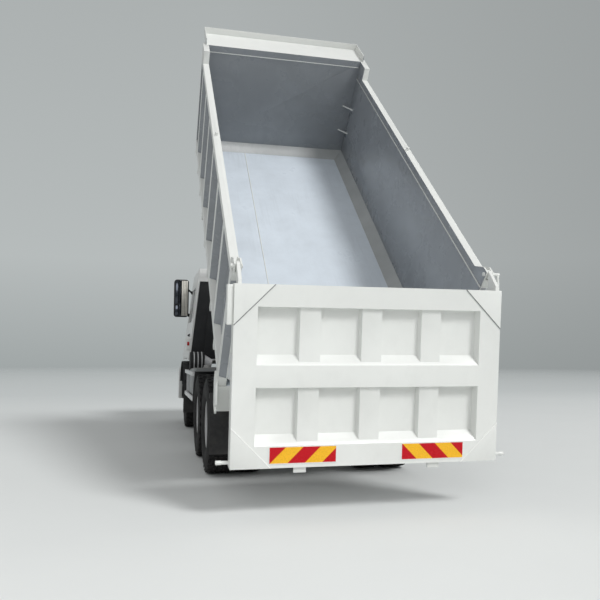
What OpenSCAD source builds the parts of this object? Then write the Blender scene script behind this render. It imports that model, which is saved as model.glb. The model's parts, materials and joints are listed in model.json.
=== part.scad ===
// Three-axle rear-tipping dump truck with its bed raised and its tailgate hanging open.
// Millimetres, +X to the truck's right, +Y forward, +Z up, standing on z = 0.

/* [Wheels] */
// Outside diameter of every tyre
tyre_d = 1120; // [1060:5:1180]
// Width of one tyre
tyre_w = 310; // [270:5:325]
// Diameter of the rim where the tyre's bead sits
rim_d = 540; // [510:5:570]
// Width between the two beads of a rim
bead_w = 216; // [190:2:230]
// Thickness of the tyre's tread and side walls
tyre_wall = 28; // [18:1:36]
// Spacing of the two tyres of a twin wheel, middle to middle
twin_pitch = 350; // [335:5:370]
// Distance from the truck's middle to a front tyre's middle
front_track_half = 1020; // [1000:5:1040]
// Distance from the truck's middle to the outer face of the rear tyres
rear_outer_half = 1240; // [1225:5:1260]
// Radius of the front spindles
spindle_r = 45; // [35:1:55]
// Radius of the drive axles' spindles
drive_spindle_r = 60; // [50:1:75]

/* [Axles] */
// Distance between the two drive axles
bogie_spacing = 1350; // [1300:5:1400]
// Distance from the truck's middle to a kingpin
kingpin_half = 850; // [835:5:860]
// Radius of the kingpins
kingpin_r = 25; // [20:1:30]
// Radius of the drive axles' tubes
axle_tube_r = 100; // [85:5:120]
// Length of the steering arms behind the kingpins
steer_arm = 190; // [160:5:220]

/* [Frame] */
// Outside width of the frame
frame_w = 850; // [820:5:870]
// Height of a frame rail
rail_h = 300; // [260:5:320]
// Width of a frame rail's flanges
rail_flange = 80; // [70:5:90]
// Thickness of the frame rails' plate
rail_t = 10; // [8:1:14]
// Height of the frame's underside above the axles' middle
frame_over_axle = 140; // [130:5:170]
// Front end of the frame ahead of the front axle
frame_front = 1150; // [1120:5:1180]
// Height of the tipping subframe
subframe_h = 120; // [100:5:140]
// Thickness of the wear strip on the subframe
strip_h = 20; // [15:1:25]

/* [Bed] */
// Length of the floor inside the bed
bed_len = 5190; // [4900:10:5300]
// Width inside the bed
bed_w = 2300; // [2240:10:2320]
// Height of the side rails' tops above the floor
side_h = 1420; // [1300:10:1500]
// Height of the headboard above the side rails' tops
head_over_side = 180; // [140:5:260]
// Length of the raised end of the side walls beside the headboard
step_len = 276; // [200:4:340]
// Depth of the side walls, from the plate's inside to the ribs' outside
side_depth = 80; // [70:2:90]
// Thickness of the bed's plates
plate_t = 8; // [6:1:10]
// Height of the rail along the top of a side wall
top_rail_h = 90; // [80:2:110]
// Size of the sloped plates between floor and walls
slope_size = 120; // [90:5:150]
// Height of the bed's two long beams
beam_h = 242; // [220:2:260]
// Width of the bed's long beams and of the subframe's beams
beam_w = 80; // [70:2:90]
// Height of the skirt along the foot of a side wall
skirt_h = 110; // [90:5:130]
// Number of ribs on a side wall
rib_count = 7; // [5:1:8]
// Width of a rib where it meets the wall
rib_foot = 180; // [150:5:200]
// Width of a rib's outer face
rib_face = 120; // [90:5:140]
// Length of the canopy ahead of the headboard's plate
canopy_len = 515; // [450:5:540]
// Height of the lip around the canopy
lip_h = 90; // [60:5:110]
// Angle to which the bed is raised
tip_angle = 44.3; // [40:0.1:48]

/* [Tip pivot] */
// Distance of the tip pivot behind the rear axle
pivot_overhang = 955; // [900:5:1000]
// Distance of the tip pivot ahead of the floor's rear edge
pivot_ahead = 350; // [330:5:400]
// Radius of the tip pivot's pins
pivot_r = 35; // [28:1:40]
// Radius of the lugs around the tip pivot
pivot_lug_r = 75; // [65:5:85]

/* [Tailgate] */
// Width of the tailgate
gate_w = 2460; // [2420:10:2470]
// Distance that the closed tailgate reaches below the floor
gate_below = 247; // [180:1:270]
// Thickness of the tailgate
gate_t = 130; // [110:1:140]
// Depth of the tailgate's pockets
pocket_depth = 84; // [60:2:88]
// Height of the tailgate's hinge axis above the side rails' tops
gate_axis_over = 50; // [45:1:80]
// Distance of the tailgate's hinge axis ahead of the floor's rear edge
gate_axis_ahead = 30; // [25:1:45]
// Distance of the tailgate's top edge below its hinge axis
gate_drop = 150; // [140:1:165]
// Gap between the closed tailgate and the bed
gate_gap = 25; // [15:1:30]
// Lean of the hanging tailgate, bottom forward
gate_hang = 6.6; // [5:0.1:8]
// Width of the tailgate's side posts
gate_post_w = 204; // [180:2:230]
// Width of the tailgate's upright ribs
gate_rib_w = 186; // [160:2:210]
// Distance that the faces of the tailgate's ribs lie behind its rails' faces
gate_rib_in = 28; // [20:1:40]
// Height of the tailgate's top, middle and bottom rails
gate_rail_h = 190; // [160:2:210]
// Radius of the tailgate's hinge pins
gate_pin_r = 20; // [16:1:24]

/* [Hoist] */
// Outside radius of the hoist's cover
cover_r = 115; // [112:1:125]
// Length that a stage keeps inside the one above it when it is out
stage_hold = 121; // [100:1:200]
// Length of the hoist's cover below its trunnions
cover_below = 150; // [120:5:180]
// Wall thickness of the cover and of the stages
stage_wall = 14; // [11:1:15]
// Distance of the trunnions ahead of the headboard's outside
trunnion_ahead = 320; // [300:5:340]
// Height of the trunnions above the floor
trunnion_up = 100; // [80:5:140]
// Radius of the trunnions
trunnion_r = 30; // [24:1:36]
// Height of the hoist base's pin above the frame
base_pin_up = 145; // [135:5:160]
// Radius of the hoist base's pin
base_pin_r = 25; // [20:1:30]
// Distance of the hoist base's pin behind the cab
hoist_behind_cab = 390; // [360:5:450]

/* [Cab] */
// Distance of the cab's front face ahead of the front axle
cab_front = 1400; // [1380:5:1420]
// Length of the cab
cab_len = 1900; // [1850:10:1950]
// Half the cab's width at its lower edge
cab_half = 1150; // [1120:5:1170]
// Lean of the cab's sides
cab_lean = 6.3; // [5:0.1:7]
// Height of the cab's lower edge above the tyres
cab_over_tyre = 170; // [160:5:190]
// Height of the cab from its lower edge to its roof
cab_h = 1770; // [1720:5:1800]
// Height of the apron under the cab's front
apron_h = 90; // [60:5:110]
// Height of the windscreen's foot above the cab's lower edge
screen_low = 670; // [640:5:700]
// Height of the windscreen's head above the cab's lower edge
screen_high = 1570; // [1540:5:1600]
// Distance that the windscreen leans back
screen_rake = 240; // [200:5:260]
// Thickness of the cab's walls and doors
cab_wall = 60; // [50:1:64]
// Height of the cab's floor above its lower edge
cab_floor_up = 130; // [120:5:150]
// Thickness of the cab's floor
cab_floor_t = 40; // [30:1:45]
// Rear edge of the door opening, from the front axle
door_rear = -60; // [-100:5:0]
// Front edge of the door opening, from the front axle
door_front = 1080; // [1050:5:1100]
// Gap around a door
door_gap = 10; // [8:1:14]
// Thickness of the glass
glass_t = 6; // [4:1:8]

/* [Front] */
// Distance of the bumper's face ahead of the front axle
bumper_front = 1480; // [1465:5:1500]
// Height of the bumper's lower edge above the floor
bumper_low = 480; // [450:5:520]
// Height of the bumper
bumper_h = 645; // [600:5:650]
// Half the bumper's width
bumper_half = 1230; // [1200:5:1240]
// Radius of the tow pin bores
tow_r = 22; // [18:1:26]

/* [Side equipment] */
// Length of the fuel tank
tank_len = 1100; // [900:10:1150]
// Width of the fuel tank
tank_w = 620; // [560:5:640]
// Height of the fuel tank
tank_h = 520; // [460:5:560]
// Distance from the truck's middle to the outside of the side guards
guard_half = 1235; // [1225:5:1245]
// Height of the side guards' bars
guard_bar_h = 60; // [50:2:80]
// Thickness of the mudguards
mudguard_t = 8; // [6:1:10]

/* [Hidden] */
$fn = 48;
eps = 1;
run = 0.06;
seat = 0.3;
clear = 5;

// Heights
axle_z = tyre_d / 2;
frame_low = axle_z + frame_over_axle;
frame_top = frame_low + rail_h;
strip_top = frame_top + subframe_h + strip_h;
pivot_z = strip_top + clear;
pivot_below = beam_h + plate_t;
cab_z0 = tyre_d + cab_over_tyre;
cab_z1 = cab_z0 + cab_h;
apron_z = cab_z0 - apron_h;
floor_z = cab_z0 + cab_floor_up;
deck_z = floor_z + cab_floor_t;
screen_z0 = cab_z0 + screen_low;
screen_z1 = cab_z0 + screen_high;
head_h = side_h + head_over_side;
gate_axis_up = side_h + gate_axis_over;

// Places along the bed, from the floor's rear edge
head_out = bed_len + side_depth;
trunnion_u = head_out + trunnion_ahead;
trunnion_du = trunnion_u - pivot_ahead;
trunnion_dw = trunnion_up + pivot_below;

// Places along the truck, from the front axle; the bed or the side equipment sets the drive axles
cab_rear = cab_front - cab_len;
tank_front = -1250;
battery_len = 700;
silencer_gap = 130;
silencer_len = 620;
tail_pipe_len = 120;
guard_behind = 290;
guard_arm_in = 90;
guard_arm_w = 60;
side_row_gap = 30;
side_row_rear = tank_front - max(tank_len, battery_len + silencer_gap + silencer_len + tail_pipe_len);
middle_limit = side_row_rear - side_row_gap - guard_arm_w / 2 - guard_arm_in - guard_behind - tyre_d / 2;
base_y = min(cab_rear - hoist_behind_cab, middle_limit - bogie_spacing - pivot_overhang + trunnion_du);
pivot_y = base_y - trunnion_du;
rear_y = pivot_y + pivot_overhang;
middle_y = rear_y + bogie_spacing;
drive_ys = [middle_y, rear_y];
bolster_len = 120;
bolster_rear = pivot_y + pivot_lug_r + 55;
bolster_front = bolster_rear + bolster_len;
screen_top_y = cab_front - screen_rake;
roof_front = screen_top_y - 180;
frame_half = frame_w / 2;
beam_x0 = frame_half - beam_w;
beam_x1 = frame_half;
twin_mid = rear_outer_half - tyre_w / 2 - twin_pitch / 2;
twin_in = rear_outer_half - tyre_w - twin_pitch;
bed_half = bed_w / 2;
body_half = bed_half + side_depth;

// Hoist geometry: the trunnions with the bed raised, and how far each stage comes out
base_z = frame_top + base_pin_up;
raised_y = pivot_y + trunnion_du * cos(tip_angle) - trunnion_dw * sin(tip_angle);
raised_z = pivot_z + trunnion_du * sin(tip_angle) + trunnion_dw * cos(tip_angle);
hoist_open = norm([raised_y - base_y, raised_z - base_z]);
hoist_shut = pivot_z + trunnion_dw - base_z;
hoist_lean = atan2(base_y - raised_y, raised_z - base_z);
cover_turn = tip_angle - hoist_lean;
stage_stroke = (hoist_open - hoist_shut) / 3;
stage_gap = 1;
stage_foot = 25;
stage_cap = 10;
stage_top = stage_stroke - cover_below + stage_hold;
cover_above = stage_top + 2 * stage_cap;

// Tailgate geometry
gate_open = tip_angle - gate_hang;
gate_in = gate_axis_ahead + gate_gap;
gate_out = gate_in + gate_t;
gate_low = gate_axis_up + gate_below;
gate_h = gate_low - gate_drop;
corner_t = 5;
axis_du = gate_axis_ahead - pivot_ahead;
axis_dw = gate_axis_up + pivot_below;
axis_y = pivot_y + axis_du * cos(tip_angle) - axis_dw * sin(tip_angle);
rear_most = axis_y - (gate_out + corner_t) * cos(gate_hang) + gate_drop * sin(gate_hang);
y_shift = -(bumper_front + rear_most) / 2;

// Shared shapes
module box(lo, hi) { translate(lo) cube(hi - lo); }

module both_sides() {
    children();
    mirror([1, 0, 0]) children();
}

// A plate given by its side view, points in (y, z), from x0 to x1
module side_plate(points, x0, x1) {
    translate([x0, 0, 0]) rotate([90, 0, 90]) linear_extrude(x1 - x0) polygon(points);
}

// A bar given by its section across the truck, points in (x, z), from y0 to y1
module long_bar(points, y0, y1) {
    translate([0, y1, 0]) rotate([90, 0, 0]) linear_extrude(y1 - y0) polygon(points);
}

module cross_pin(r, x0, x1) { translate([x0, 0, 0]) rotate([0, 90, 0]) cylinder(r = r, h = x1 - x0); }

// Corner points of a rectangle with rounded corners
function rounded(lo, hi, r, n = 5) =
    let (corners = [[hi.x - r, hi.y - r, 0], [lo.x + r, hi.y - r, 90],
                    [lo.x + r, lo.y + r, 180], [hi.x - r, lo.y + r, 270]])
    [for (c = corners) for (i = [0 : n])
         let (a = c[2] + 90 * i / n)
         [c[0] + r * cos(a), c[1] + r * sin(a)]];

// Frames: the truck, the raised bed, the hanging tailgate and the hoist's cover
module on_truck() { translate([0, y_shift, 0]) children(); }

module on_bed() {
    on_truck() translate([0, pivot_y, pivot_z]) rotate([tip_angle, 0, 0])
        translate([0, -pivot_ahead, pivot_below]) children();
}

module on_gate() {
    on_bed() translate([0, gate_axis_ahead, gate_axis_up]) rotate([-gate_open, 0, 0]) children();
}

module on_cover() {
    on_bed() translate([0, trunnion_u, trunnion_up]) rotate([-cover_turn, 0, 0]) children();
}

// Chassis
engine_half = 320;
engine_front = 850;
engine_rear = -380;
gearbox_rear = -1080;
trunnion_y = middle_y - bogie_spacing / 2;
cross_member_ys = [frame_front - 90, gearbox_rear - 220, (gearbox_rear + middle_y) / 2, trunnion_y];
cross_member_h = 100;
cross_member_w = 60;
cab_mount_y = cab_rear + 150;
cab_mount_len = 120;
cab_lug_r = 50;
cab_lug_t = 30;
cab_lug_foot = 160;
cab_pin_r = 22;
cab_pivot_y = cab_front - cab_wall - cab_lug_r - clear - eps;
cab_pivot_z = apron_z;
cab_lug_x0 = beam_x0;
cab_lug_x1 = cab_lug_x0 + cab_lug_t;
cab_ear_x0 = cab_lug_x1 + clear;
cab_ear_x1 = cab_ear_x0 + 40;

module frame_rails() {
    t = rail_t;
    web_x = frame_half - t;
    lip_x = frame_half - rail_flange;
    section = [[lip_x, frame_low], [frame_half, frame_low], [frame_half, frame_top], [lip_x, frame_top],
               [lip_x, frame_top - t], [web_x, frame_top - t], [web_x, frame_low + t],
               [lip_x, frame_low + t]];
    member_top = frame_top - 2 * t;
    color("dimgray") on_truck() {
        both_sides() {
            long_bar(section, bolster_front, frame_front);
            box([lip_x, cab_mount_y - cab_mount_len / 2, frame_top],
                [frame_half, cab_mount_y + cab_mount_len / 2, floor_z - seat]);
            side_plate([[frame_front - cab_lug_foot, frame_top - eps], [frame_front, frame_top - eps],
                        [cab_pivot_y + cab_lug_r, cab_pivot_z], [cab_pivot_y - cab_lug_r, cab_pivot_z]],
                       cab_lug_x0, cab_lug_x1);
            translate([0, cab_pivot_y, cab_pivot_z]) {
                cross_pin(cab_lug_r, cab_lug_x0, cab_lug_x1);
                cross_pin(cab_pin_r, cab_lug_x0 + eps, cab_ear_x1 + clear);
            }
        }
        for (y = cross_member_ys)
            box([-web_x - eps, y - cross_member_w / 2, member_top - cross_member_h],
                [web_x + eps, y + cross_member_w / 2, member_top]);
    }
}

bolster_half = frame_half + 60;
bolster_low = frame_top - 200;
bolster_top = frame_top + subframe_h;
bracket_t = 25;
bracket_xs = [beam_x0 - clear - bracket_t, beam_x1 + clear];
strip_in = 10;
cross_beam_count = 3;
cross_beam_w = 80;
tow_y = bolster_rear - 110;
tow_z = bolster_low + 80;
jaw_gap = 70;
jaw_t = 30;
jaw_half = 60;
jaw_root = 40;

// A forked jaw for a drop-in pin, from its root to the pin's place
module tow_jaw(y_root, y_pin, z) {
    dir = sign(y_pin - y_root);
    y_in = y_root + dir * jaw_root;
    y_out = y_pin + dir * (jaw_half + 10);
    low = z - jaw_gap / 2 - jaw_t;
    high = z + jaw_gap / 2 + jaw_t;
    difference() {
        union() {
            box([-jaw_half, min(y_root, y_pin), low], [jaw_half, max(y_root, y_pin), high]);
            translate([0, y_pin, low]) cylinder(r = jaw_half, h = high - low);
        }
        box([-jaw_half - eps, min(y_in, y_out), z - jaw_gap / 2],
            [jaw_half + eps, max(y_in, y_out), z + jaw_gap / 2]);
        translate([0, y_pin, low - eps]) cylinder(r = tow_r, h = high - low + 2 * eps);
    }
}

beam_end_gap = 260;

module tipping_subframe() {
    beam_front = base_y - beam_end_gap;
    pitch = (beam_front - bolster_front) / (cross_beam_count + 1);
    color("dimgray") on_truck() {
        both_sides() {
            box([beam_x0, bolster_front, frame_top], [beam_x1, beam_front, bolster_top]);
            box([beam_x0 + strip_in, bolster_front, bolster_top],
                [beam_x1 - strip_in, beam_front, strip_top]);
            for (x = bracket_xs) {
                side_plate([[pivot_y, pivot_z - pivot_lug_r], [bolster_rear + eps, bolster_low],
                            [bolster_rear + eps, bolster_top], [pivot_y, pivot_z + pivot_lug_r]],
                           x, x + bracket_t);
                translate([0, pivot_y, pivot_z]) cross_pin(pivot_lug_r, x, x + bracket_t);
            }
            translate([0, pivot_y, pivot_z])
                cross_pin(pivot_r, bracket_xs[0] + eps, bracket_xs[1] + bracket_t + 15);
        }
        box([-bolster_half, bolster_rear, bolster_low], [bolster_half, bolster_front, bolster_top]);
        for (i = [1 : cross_beam_count])
            translate([0, bolster_front + i * pitch, frame_top])
                box([-beam_x0 - eps, -cross_beam_w / 2, strip_h],
                    [beam_x0 + eps, cross_beam_w / 2, subframe_h - strip_h]);
        tow_jaw(bolster_rear + eps, tow_y, tow_z);
    }
}

boss_r = 60;
boss_h = 150;
fork_gap = clear;
fork_t = 50;
beam_drop = 130;
axle_beam_h = 95;
axle_beam_w = 100;
axle_end_h = 120;

module front_axle() {
    low = axle_z - beam_drop;
    top = low + axle_beam_h;
    end_low = axle_z - axle_end_h / 2;
    end_top = axle_z + axle_end_h / 2;
    color("dimgray") on_truck() both_sides() {
        long_bar([[-eps, low], [kingpin_half - 290, low], [kingpin_half - boss_r, end_low],
                  [kingpin_half, end_low], [kingpin_half, end_top], [kingpin_half - boss_r - 20, end_top],
                  [kingpin_half - 310, top], [-eps, top]],
                 -axle_beam_w / 2, axle_beam_w / 2);
        translate([kingpin_half, 0, axle_z - boss_h / 2]) cylinder(r = boss_r, h = boss_h);
        translate([kingpin_half, 0, axle_z])
            cylinder(r = kingpin_r, h = boss_h + 2 * (fork_gap + fork_t) - 4, center = true);
    }
}

pinion_reach = 250;
pinion_r = 80;
housing_r = 210;

// Half the outline of a drive axle, as radius and distance from the middle: housing, tube and spindle
function axle_outline(tube_end, spindle_end) = [
    [housing_r, 1.25 * pinion_r], [housing_r - 30, 150], [axle_tube_r, 300], [axle_tube_r, tube_end],
    [drive_spindle_r, tube_end], [drive_spindle_r, spindle_end], [0, spindle_end]];

module drive_axles() {
    half = axle_outline(twin_mid - 140, twin_mid + 90);
    other_half = [for (i = [len(half) - 1 : -1 : 0]) [half[i].x, -half[i].y]];
    color("dimgray") on_truck() {
        for (y = drive_ys)
            translate([0, y, axle_z]) {
                ring(concat(half, other_half));
                rotate([-90, 0, 0]) cylinder(r = pinion_r, h = pinion_reach);
            }
        translate([0, middle_y, axle_z]) rotate([90, 0, 0]) cylinder(r = pinion_r, h = pinion_reach);
    }
}

// Side outline of a pack of spring leaves: the longest leaf's outer face is a shallow arch through the
// origin, its ends risen by camber, and each further leaf is shorter by step at both ends
function leaf_pack(count, length, step, t, camber) =
    let (half = [for (k = [0 : count - 1]) length / 2 - k * step],
         arch = function(y) camber * pow(2 * y / length, 2),
         foot = [for (k = [0 : count - 1])
                     each [[half[k], arch(half[k]) - k * t], [half[k], arch(half[k]) - (k + 1) * t]]],
         low = [for (i = [3 : -1 : -3])
                    let (y = i * half[count - 1] / 4)
                    [y, arch(y) - count * t]],
         top = [for (i = [-5 : 5]) [i * length / 12, arch(i * length / 12)]])
    concat(top, foot, low, [for (i = [len(foot) - 1 : -1 : 0]) [-foot[i].x, foot[i].y]]);

leaf_w = 90;
leaf_t = 18;
leaf_step = 90;
bogie_leaves = 7;
front_leaves = 5;
front_spring_len = 1500;
spring_clear = 35;
bogie_spring_x = twin_in - spring_clear - leaf_w / 2;
bogie_camber = 30;
hanger_len = 100;
saddle_len = 220;
saddle_lip = 10;

module leaf_springs() {
    seat_z = axle_z + axle_tube_r + 2 * seat;
    front_top = axle_z - beam_drop + axle_beam_h + seat + front_leaves * leaf_t;
    front_camber = frame_low - front_top - clear;
    hanger_y = (front_spring_len - hanger_len) / 2;
    bogie_len = bogie_spacing + 120;
    bogie_mid = seat_z + bogie_camber * pow(bogie_spacing / bogie_len, 2);
    saddle_in = bogie_spring_x - leaf_w / 2 - saddle_lip;
    saddle_low = axle_z - 60;
    color("black") on_truck() both_sides() {
        translate([0, trunnion_y, bogie_mid]) mirror([0, 0, 1])
            side_plate(leaf_pack(bogie_leaves, bogie_len, leaf_step, leaf_t, bogie_camber),
                       bogie_spring_x - leaf_w / 2, bogie_spring_x + leaf_w / 2);
        box([saddle_in, trunnion_y - saddle_len / 2, saddle_low],
            [bogie_spring_x + leaf_w / 2 + saddle_lip, trunnion_y + saddle_len / 2, bogie_mid + eps]);
        box([frame_half, trunnion_y - 150, saddle_low], [saddle_in + eps, trunnion_y + 150, frame_low + 120]);
        translate([0, 0, front_top])
            side_plate(leaf_pack(front_leaves, front_spring_len, leaf_step, leaf_t, front_camber),
                       frame_half - leaf_w / 2, frame_half + leaf_w / 2);
        for (s = [-1, 1])
            translate([frame_half, s * hanger_y, 0])
                box([-leaf_w / 2, -hanger_len / 2, front_top + front_camber - 30],
                    [leaf_w / 2, hanger_len / 2, frame_low]);
    }
}

// A round shaft between two points
module shaft(p, q, r) {
    d = q - p;
    translate(p) rotate([0, acos(d.z / norm(d)), atan2(d.y, d.x)]) cylinder(r = r, h = norm(d));
}

module powertrain() {
    engine_low = frame_low + 60;
    engine_top = floor_z - 60;
    shaft_z = frame_low + 130;
    coupling_y = middle_y + pinion_reach + 75;
    engine_mount_ys = [engine_front - 300, engine_rear + 280];
    color("gray") on_truck() {
        box([-engine_half, engine_rear, engine_low], [engine_half, engine_front, engine_top]);
        box([-engine_half + 70, gearbox_rear, engine_low - 40],
            [engine_half - 70, engine_rear + eps, frame_top - 20]);
        box([-300, engine_front - eps, engine_low + 100], [300, engine_front + 150, engine_top - 20]);
        both_sides() for (y = engine_mount_ys)
            box([engine_half - eps, y - 50, engine_low + 40],
                [frame_half - rail_t - seat, y + 50, engine_low + 120]);
        shaft([0, gearbox_rear + eps, shaft_z], [0, coupling_y, axle_z], 55);
        translate([0, coupling_y, axle_z]) sphere(r = 62);
        translate([0, middle_y + pinion_reach + seat, axle_z]) rotate([-90, 0, 0]) cylinder(r = 70, h = 50);
        shaft([0, middle_y - pinion_reach - seat, axle_z], [0, rear_y + pinion_reach + seat, axle_z], 50);
    }
}

tank_out = guard_half - 55;
tank_low = frame_low - 60;

module fuel_tank() {
    x0 = -tank_out;
    x1 = -tank_out + tank_w;
    color("silver") on_truck() {
        long_bar(rounded([x0, tank_low], [x1, tank_low + tank_h], 90), tank_front - tank_len, tank_front);
        for (y = [tank_front - 200, tank_front - tank_len + 200])
            box([x1 - eps, y - 40, frame_low + 60], [-frame_half, y + 40, frame_low + 180]);
    }
}

battery_h = 380;
battery_in = tank_out - tank_w + 30;

module battery_box() {
    low = tank_low + 40;
    color("dimgray") on_truck() {
        box([battery_in, tank_front - battery_len, low], [tank_out, tank_front, low + battery_h]);
        for (y = [tank_front - 150, tank_front - battery_len + 150])
            box([frame_half, y - 40, frame_low + 60], [battery_in + eps, y + 40, frame_low + 180]);
    }
}

silencer_r = 175;
tail_pipe_r = 60;

module exhaust_silencer() {
    y1 = tank_front - battery_len - silencer_gap;
    x = tank_out - silencer_r - 60;
    z = frame_low + 90;
    color("gray") on_truck() {
        translate([x, y1, z]) rotate([90, 0, 0]) cylinder(r = silencer_r, h = silencer_len);
        translate([x, y1 - silencer_len + eps, z - 40]) rotate([90, 0, 0])
            cylinder(r = tail_pipe_r, h = tail_pipe_len);
        for (y = [y1 - 120, y1 - silencer_len + 120])
            box([frame_half, y - 25, z - 30], [x - silencer_r / 2, y + 25, z + 30]);
    }
}

bumper_t = 90;
bumper_corner = 180;
bumper_rear = frame_front - 60;
bumper_top = bumper_low + bumper_h;
lamp_w = 300;
lamp_h = 170;
lamp_x = bumper_half - bumper_corner - lamp_w;
lamp_z = bumper_top - 230;
lamp_in = 23;
tow_notch_half = 90;
tow_notch_h = 330;
front_tow_z = bumper_low + 240;
front_tow_y = bumper_front - 75;

// The bumper's right half seen from above, from its front round to its inside
bumper_side = [[bumper_half - bumper_corner, bumper_front], [bumper_half, bumper_front - bumper_corner],
               [bumper_half, bumper_rear], [bumper_half - bumper_t, bumper_rear],
               [bumper_half - bumper_t, bumper_front - bumper_corner - 20],
               [bumper_half - bumper_corner - 20, bumper_front - bumper_t]];

module front_bumper() {
    other_side = [for (i = [len(bumper_side) - 1 : -1 : 0]) [-bumper_side[i].x, bumper_side[i].y]];
    inside = bumper_front - bumper_t;
    color("white") on_truck() {
        difference() {
            translate([0, 0, bumper_low]) linear_extrude(bumper_h) polygon(concat(bumper_side, other_side));
            both_sides()
                box([lamp_x, inside - eps, lamp_z], [lamp_x + lamp_w, bumper_front + eps, lamp_z + lamp_h]);
            box([-tow_notch_half, inside - eps, bumper_low - eps],
                [tow_notch_half, bumper_front + eps, bumper_low + tow_notch_h]);
        }
        both_sides()
            box([frame_half - 70, frame_front, frame_low + 20],
                [frame_half - 10, inside + eps, frame_top - 20]);
        box([-frame_half + 60, frame_front + 20, front_tow_z - 100],
            [frame_half - 60, frame_front + 90, front_tow_z + 100]);
        tow_jaw(frame_front + 80, front_tow_y, front_tow_z);
    }
}

module headlamps() {
    color("lightgray") on_truck() both_sides()
        box([lamp_x + seat, bumper_front - bumper_t, lamp_z],
            [lamp_x + lamp_w - seat, bumper_front - lamp_in, lamp_z + lamp_h - seat]);
}

mudguard_r = 705;
mudguard_x0 = front_track_half - tyre_w / 2 - 60;
mudguard_half = guard_half;
mudguard_front = 25;
mudguard_rear = 186;
front_flap_low = 230;
front_flap_high = 60;
bracket_r = 20;

// An arched guard round a wheel's axis, from one angle to another, seen from the right
module arch(r, t, a0, a1, x0, x1) {
    translate([x0, 0, 0]) rotate([90, 0, 90]) rotate([0, 0, a0])
        rotate_extrude(angle = a1 - a0, $fn = 96) translate([r, 0]) square([t, x1 - x0]);
}

// Pins that carry an arched guard from the frame, at given angles
module arch_pins(r, angles, x1) {
    reach = r + mudguard_t + bracket_r - clear;
    for (a = angles)
        translate([0, reach * cos(a), reach * sin(a)]) cross_pin(bracket_r, frame_half, x1 - bracket_r);
}

module front_mudguards() {
    color("black") on_truck() both_sides() translate([0, 0, axle_z]) {
        arch(mudguard_r, mudguard_t, mudguard_front, mudguard_rear, mudguard_x0, mudguard_half);
        box([mudguard_x0 - 2, -mudguard_r - mudguard_t - 4, -front_flap_low],
            [mudguard_half + 2, -mudguard_r + 4, -front_flap_high]);
        arch_pins(mudguard_r, [150, 165], mudguard_half);
    }
}

step_front = frame_front - 65;
step_rear = mudguard_r;
step_count = 3;
step_low = bumper_low + 20;

module cab_steps() {
    x0 = front_track_half - 110;
    x1 = bumper_half - 60;
    high = cab_z0 - 60;
    pitch = (high - step_low) / step_count;
    color("dimgray") on_truck() both_sides() {
        difference() {
            box([x0, step_rear, step_low], [x1, step_front, high]);
            for (i = [0 : step_count - 1])
                translate([0, 0, step_low + i * pitch])
                    box([x0 + 90, step_rear + 30, 35], [x1 + eps, step_front - 30, pitch - 15]);
        }
        box([frame_half, step_rear + 60, frame_low + 100], [x0 + eps, step_rear + 160, frame_low + 180]);
    }
}

guard_front = -1050;
guard_rear = middle_y + tyre_d / 2 + guard_behind;
guard_zs = [frame_low - 10, frame_top + 70];
guard_t = 30;

module side_guards() {
    bar_in = guard_half - guard_t;
    post_in = bar_in - 30;
    color("silver") on_truck() both_sides() {
        for (z = guard_zs)
            box([bar_in, guard_rear, z], [guard_half, guard_front, z + guard_bar_h]);
        for (y = [guard_front - guard_arm_in, guard_rear + guard_arm_in])
            translate([0, y - guard_arm_w / 2, 0]) {
                box([post_in, 0, guard_zs[0] - 20], [bar_in + eps, guard_arm_w, guard_zs[1] + guard_bar_h]);
                box([frame_half, 0, frame_low + 100], [post_in + eps, guard_arm_w, frame_low + 160]);
            }
    }
}

quarter_r = tyre_d / 2 + 80;
flap_y = rear_y - quarter_r;
flap_low = 300;
flap_t = 6;
flap_bar_w = 40;

module rear_mudguards() {
    bar_low = frame_top - 90;
    color("white") on_truck() both_sides() {
        translate([0, middle_y, axle_z]) {
            arch(quarter_r, mudguard_t, 12, 66, twin_in, rear_outer_half);
            arch_pins(quarter_r, [20, 55], rear_outer_half);
        }
        translate([0, flap_y, 0]) {
            box([frame_half, -flap_bar_w / 2, bar_low], [rear_outer_half, flap_bar_w / 2, bar_low + 60]);
            box([twin_in, -flap_t / 2, flap_low], [rear_outer_half, flap_t / 2, bar_low + eps]);
        }
    }
}

tail_lamp_w = 320;
tail_lamp_h = 120;
tail_lamp_t = 60;
lamp_arm_t = 30;
lamp_arm_h = 60;

module rear_lamps() {
    x1 = bolster_half + 40 + tail_lamp_w;
    mid = bolster_low + 70;
    color("firebrick") on_truck() both_sides() translate([0, bolster_rear + lamp_arm_t, mid]) {
        box([bolster_half, 0, -lamp_arm_h / 2], [x1, lamp_arm_t, lamp_arm_h / 2]);
        box([x1 - tail_lamp_w, -tail_lamp_t, -tail_lamp_h / 2], [x1, eps, tail_lamp_h / 2]);
    }
}

base_lug_x0 = 60;
base_lug_t = 40;
base_lug_r = 60;
eye_half = 50;

module hoist_base() {
    color("dimgray") on_truck() translate([0, base_y, 0]) {
        box([-frame_half, -110, frame_top], [frame_half, 110, frame_top + 30]);
        both_sides() {
            side_plate([[-90, frame_top + 29], [90, frame_top + 29], [base_lug_r, base_z],
                        [-base_lug_r, base_z]], base_lug_x0, base_lug_x0 + base_lug_t);
            translate([0, 0, base_z]) cross_pin(base_lug_r, base_lug_x0, base_lug_x0 + base_lug_t);
            translate([0, 0, base_z]) cross_pin(base_pin_r, eye_half + seat, base_lug_x0 + base_lug_t + 20);
        }
    }
}

// Steering
knuckle_x = kingpin_half + 65;
knuckle_web = 30;
arm_z = axle_z - boss_h / 2 - fork_gap - fork_t;
arm_t = 40;
arm_in = 20;
tie_pin_r = 14;
tie_eye_r = 34;
tie_rod_r = 22;

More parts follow.
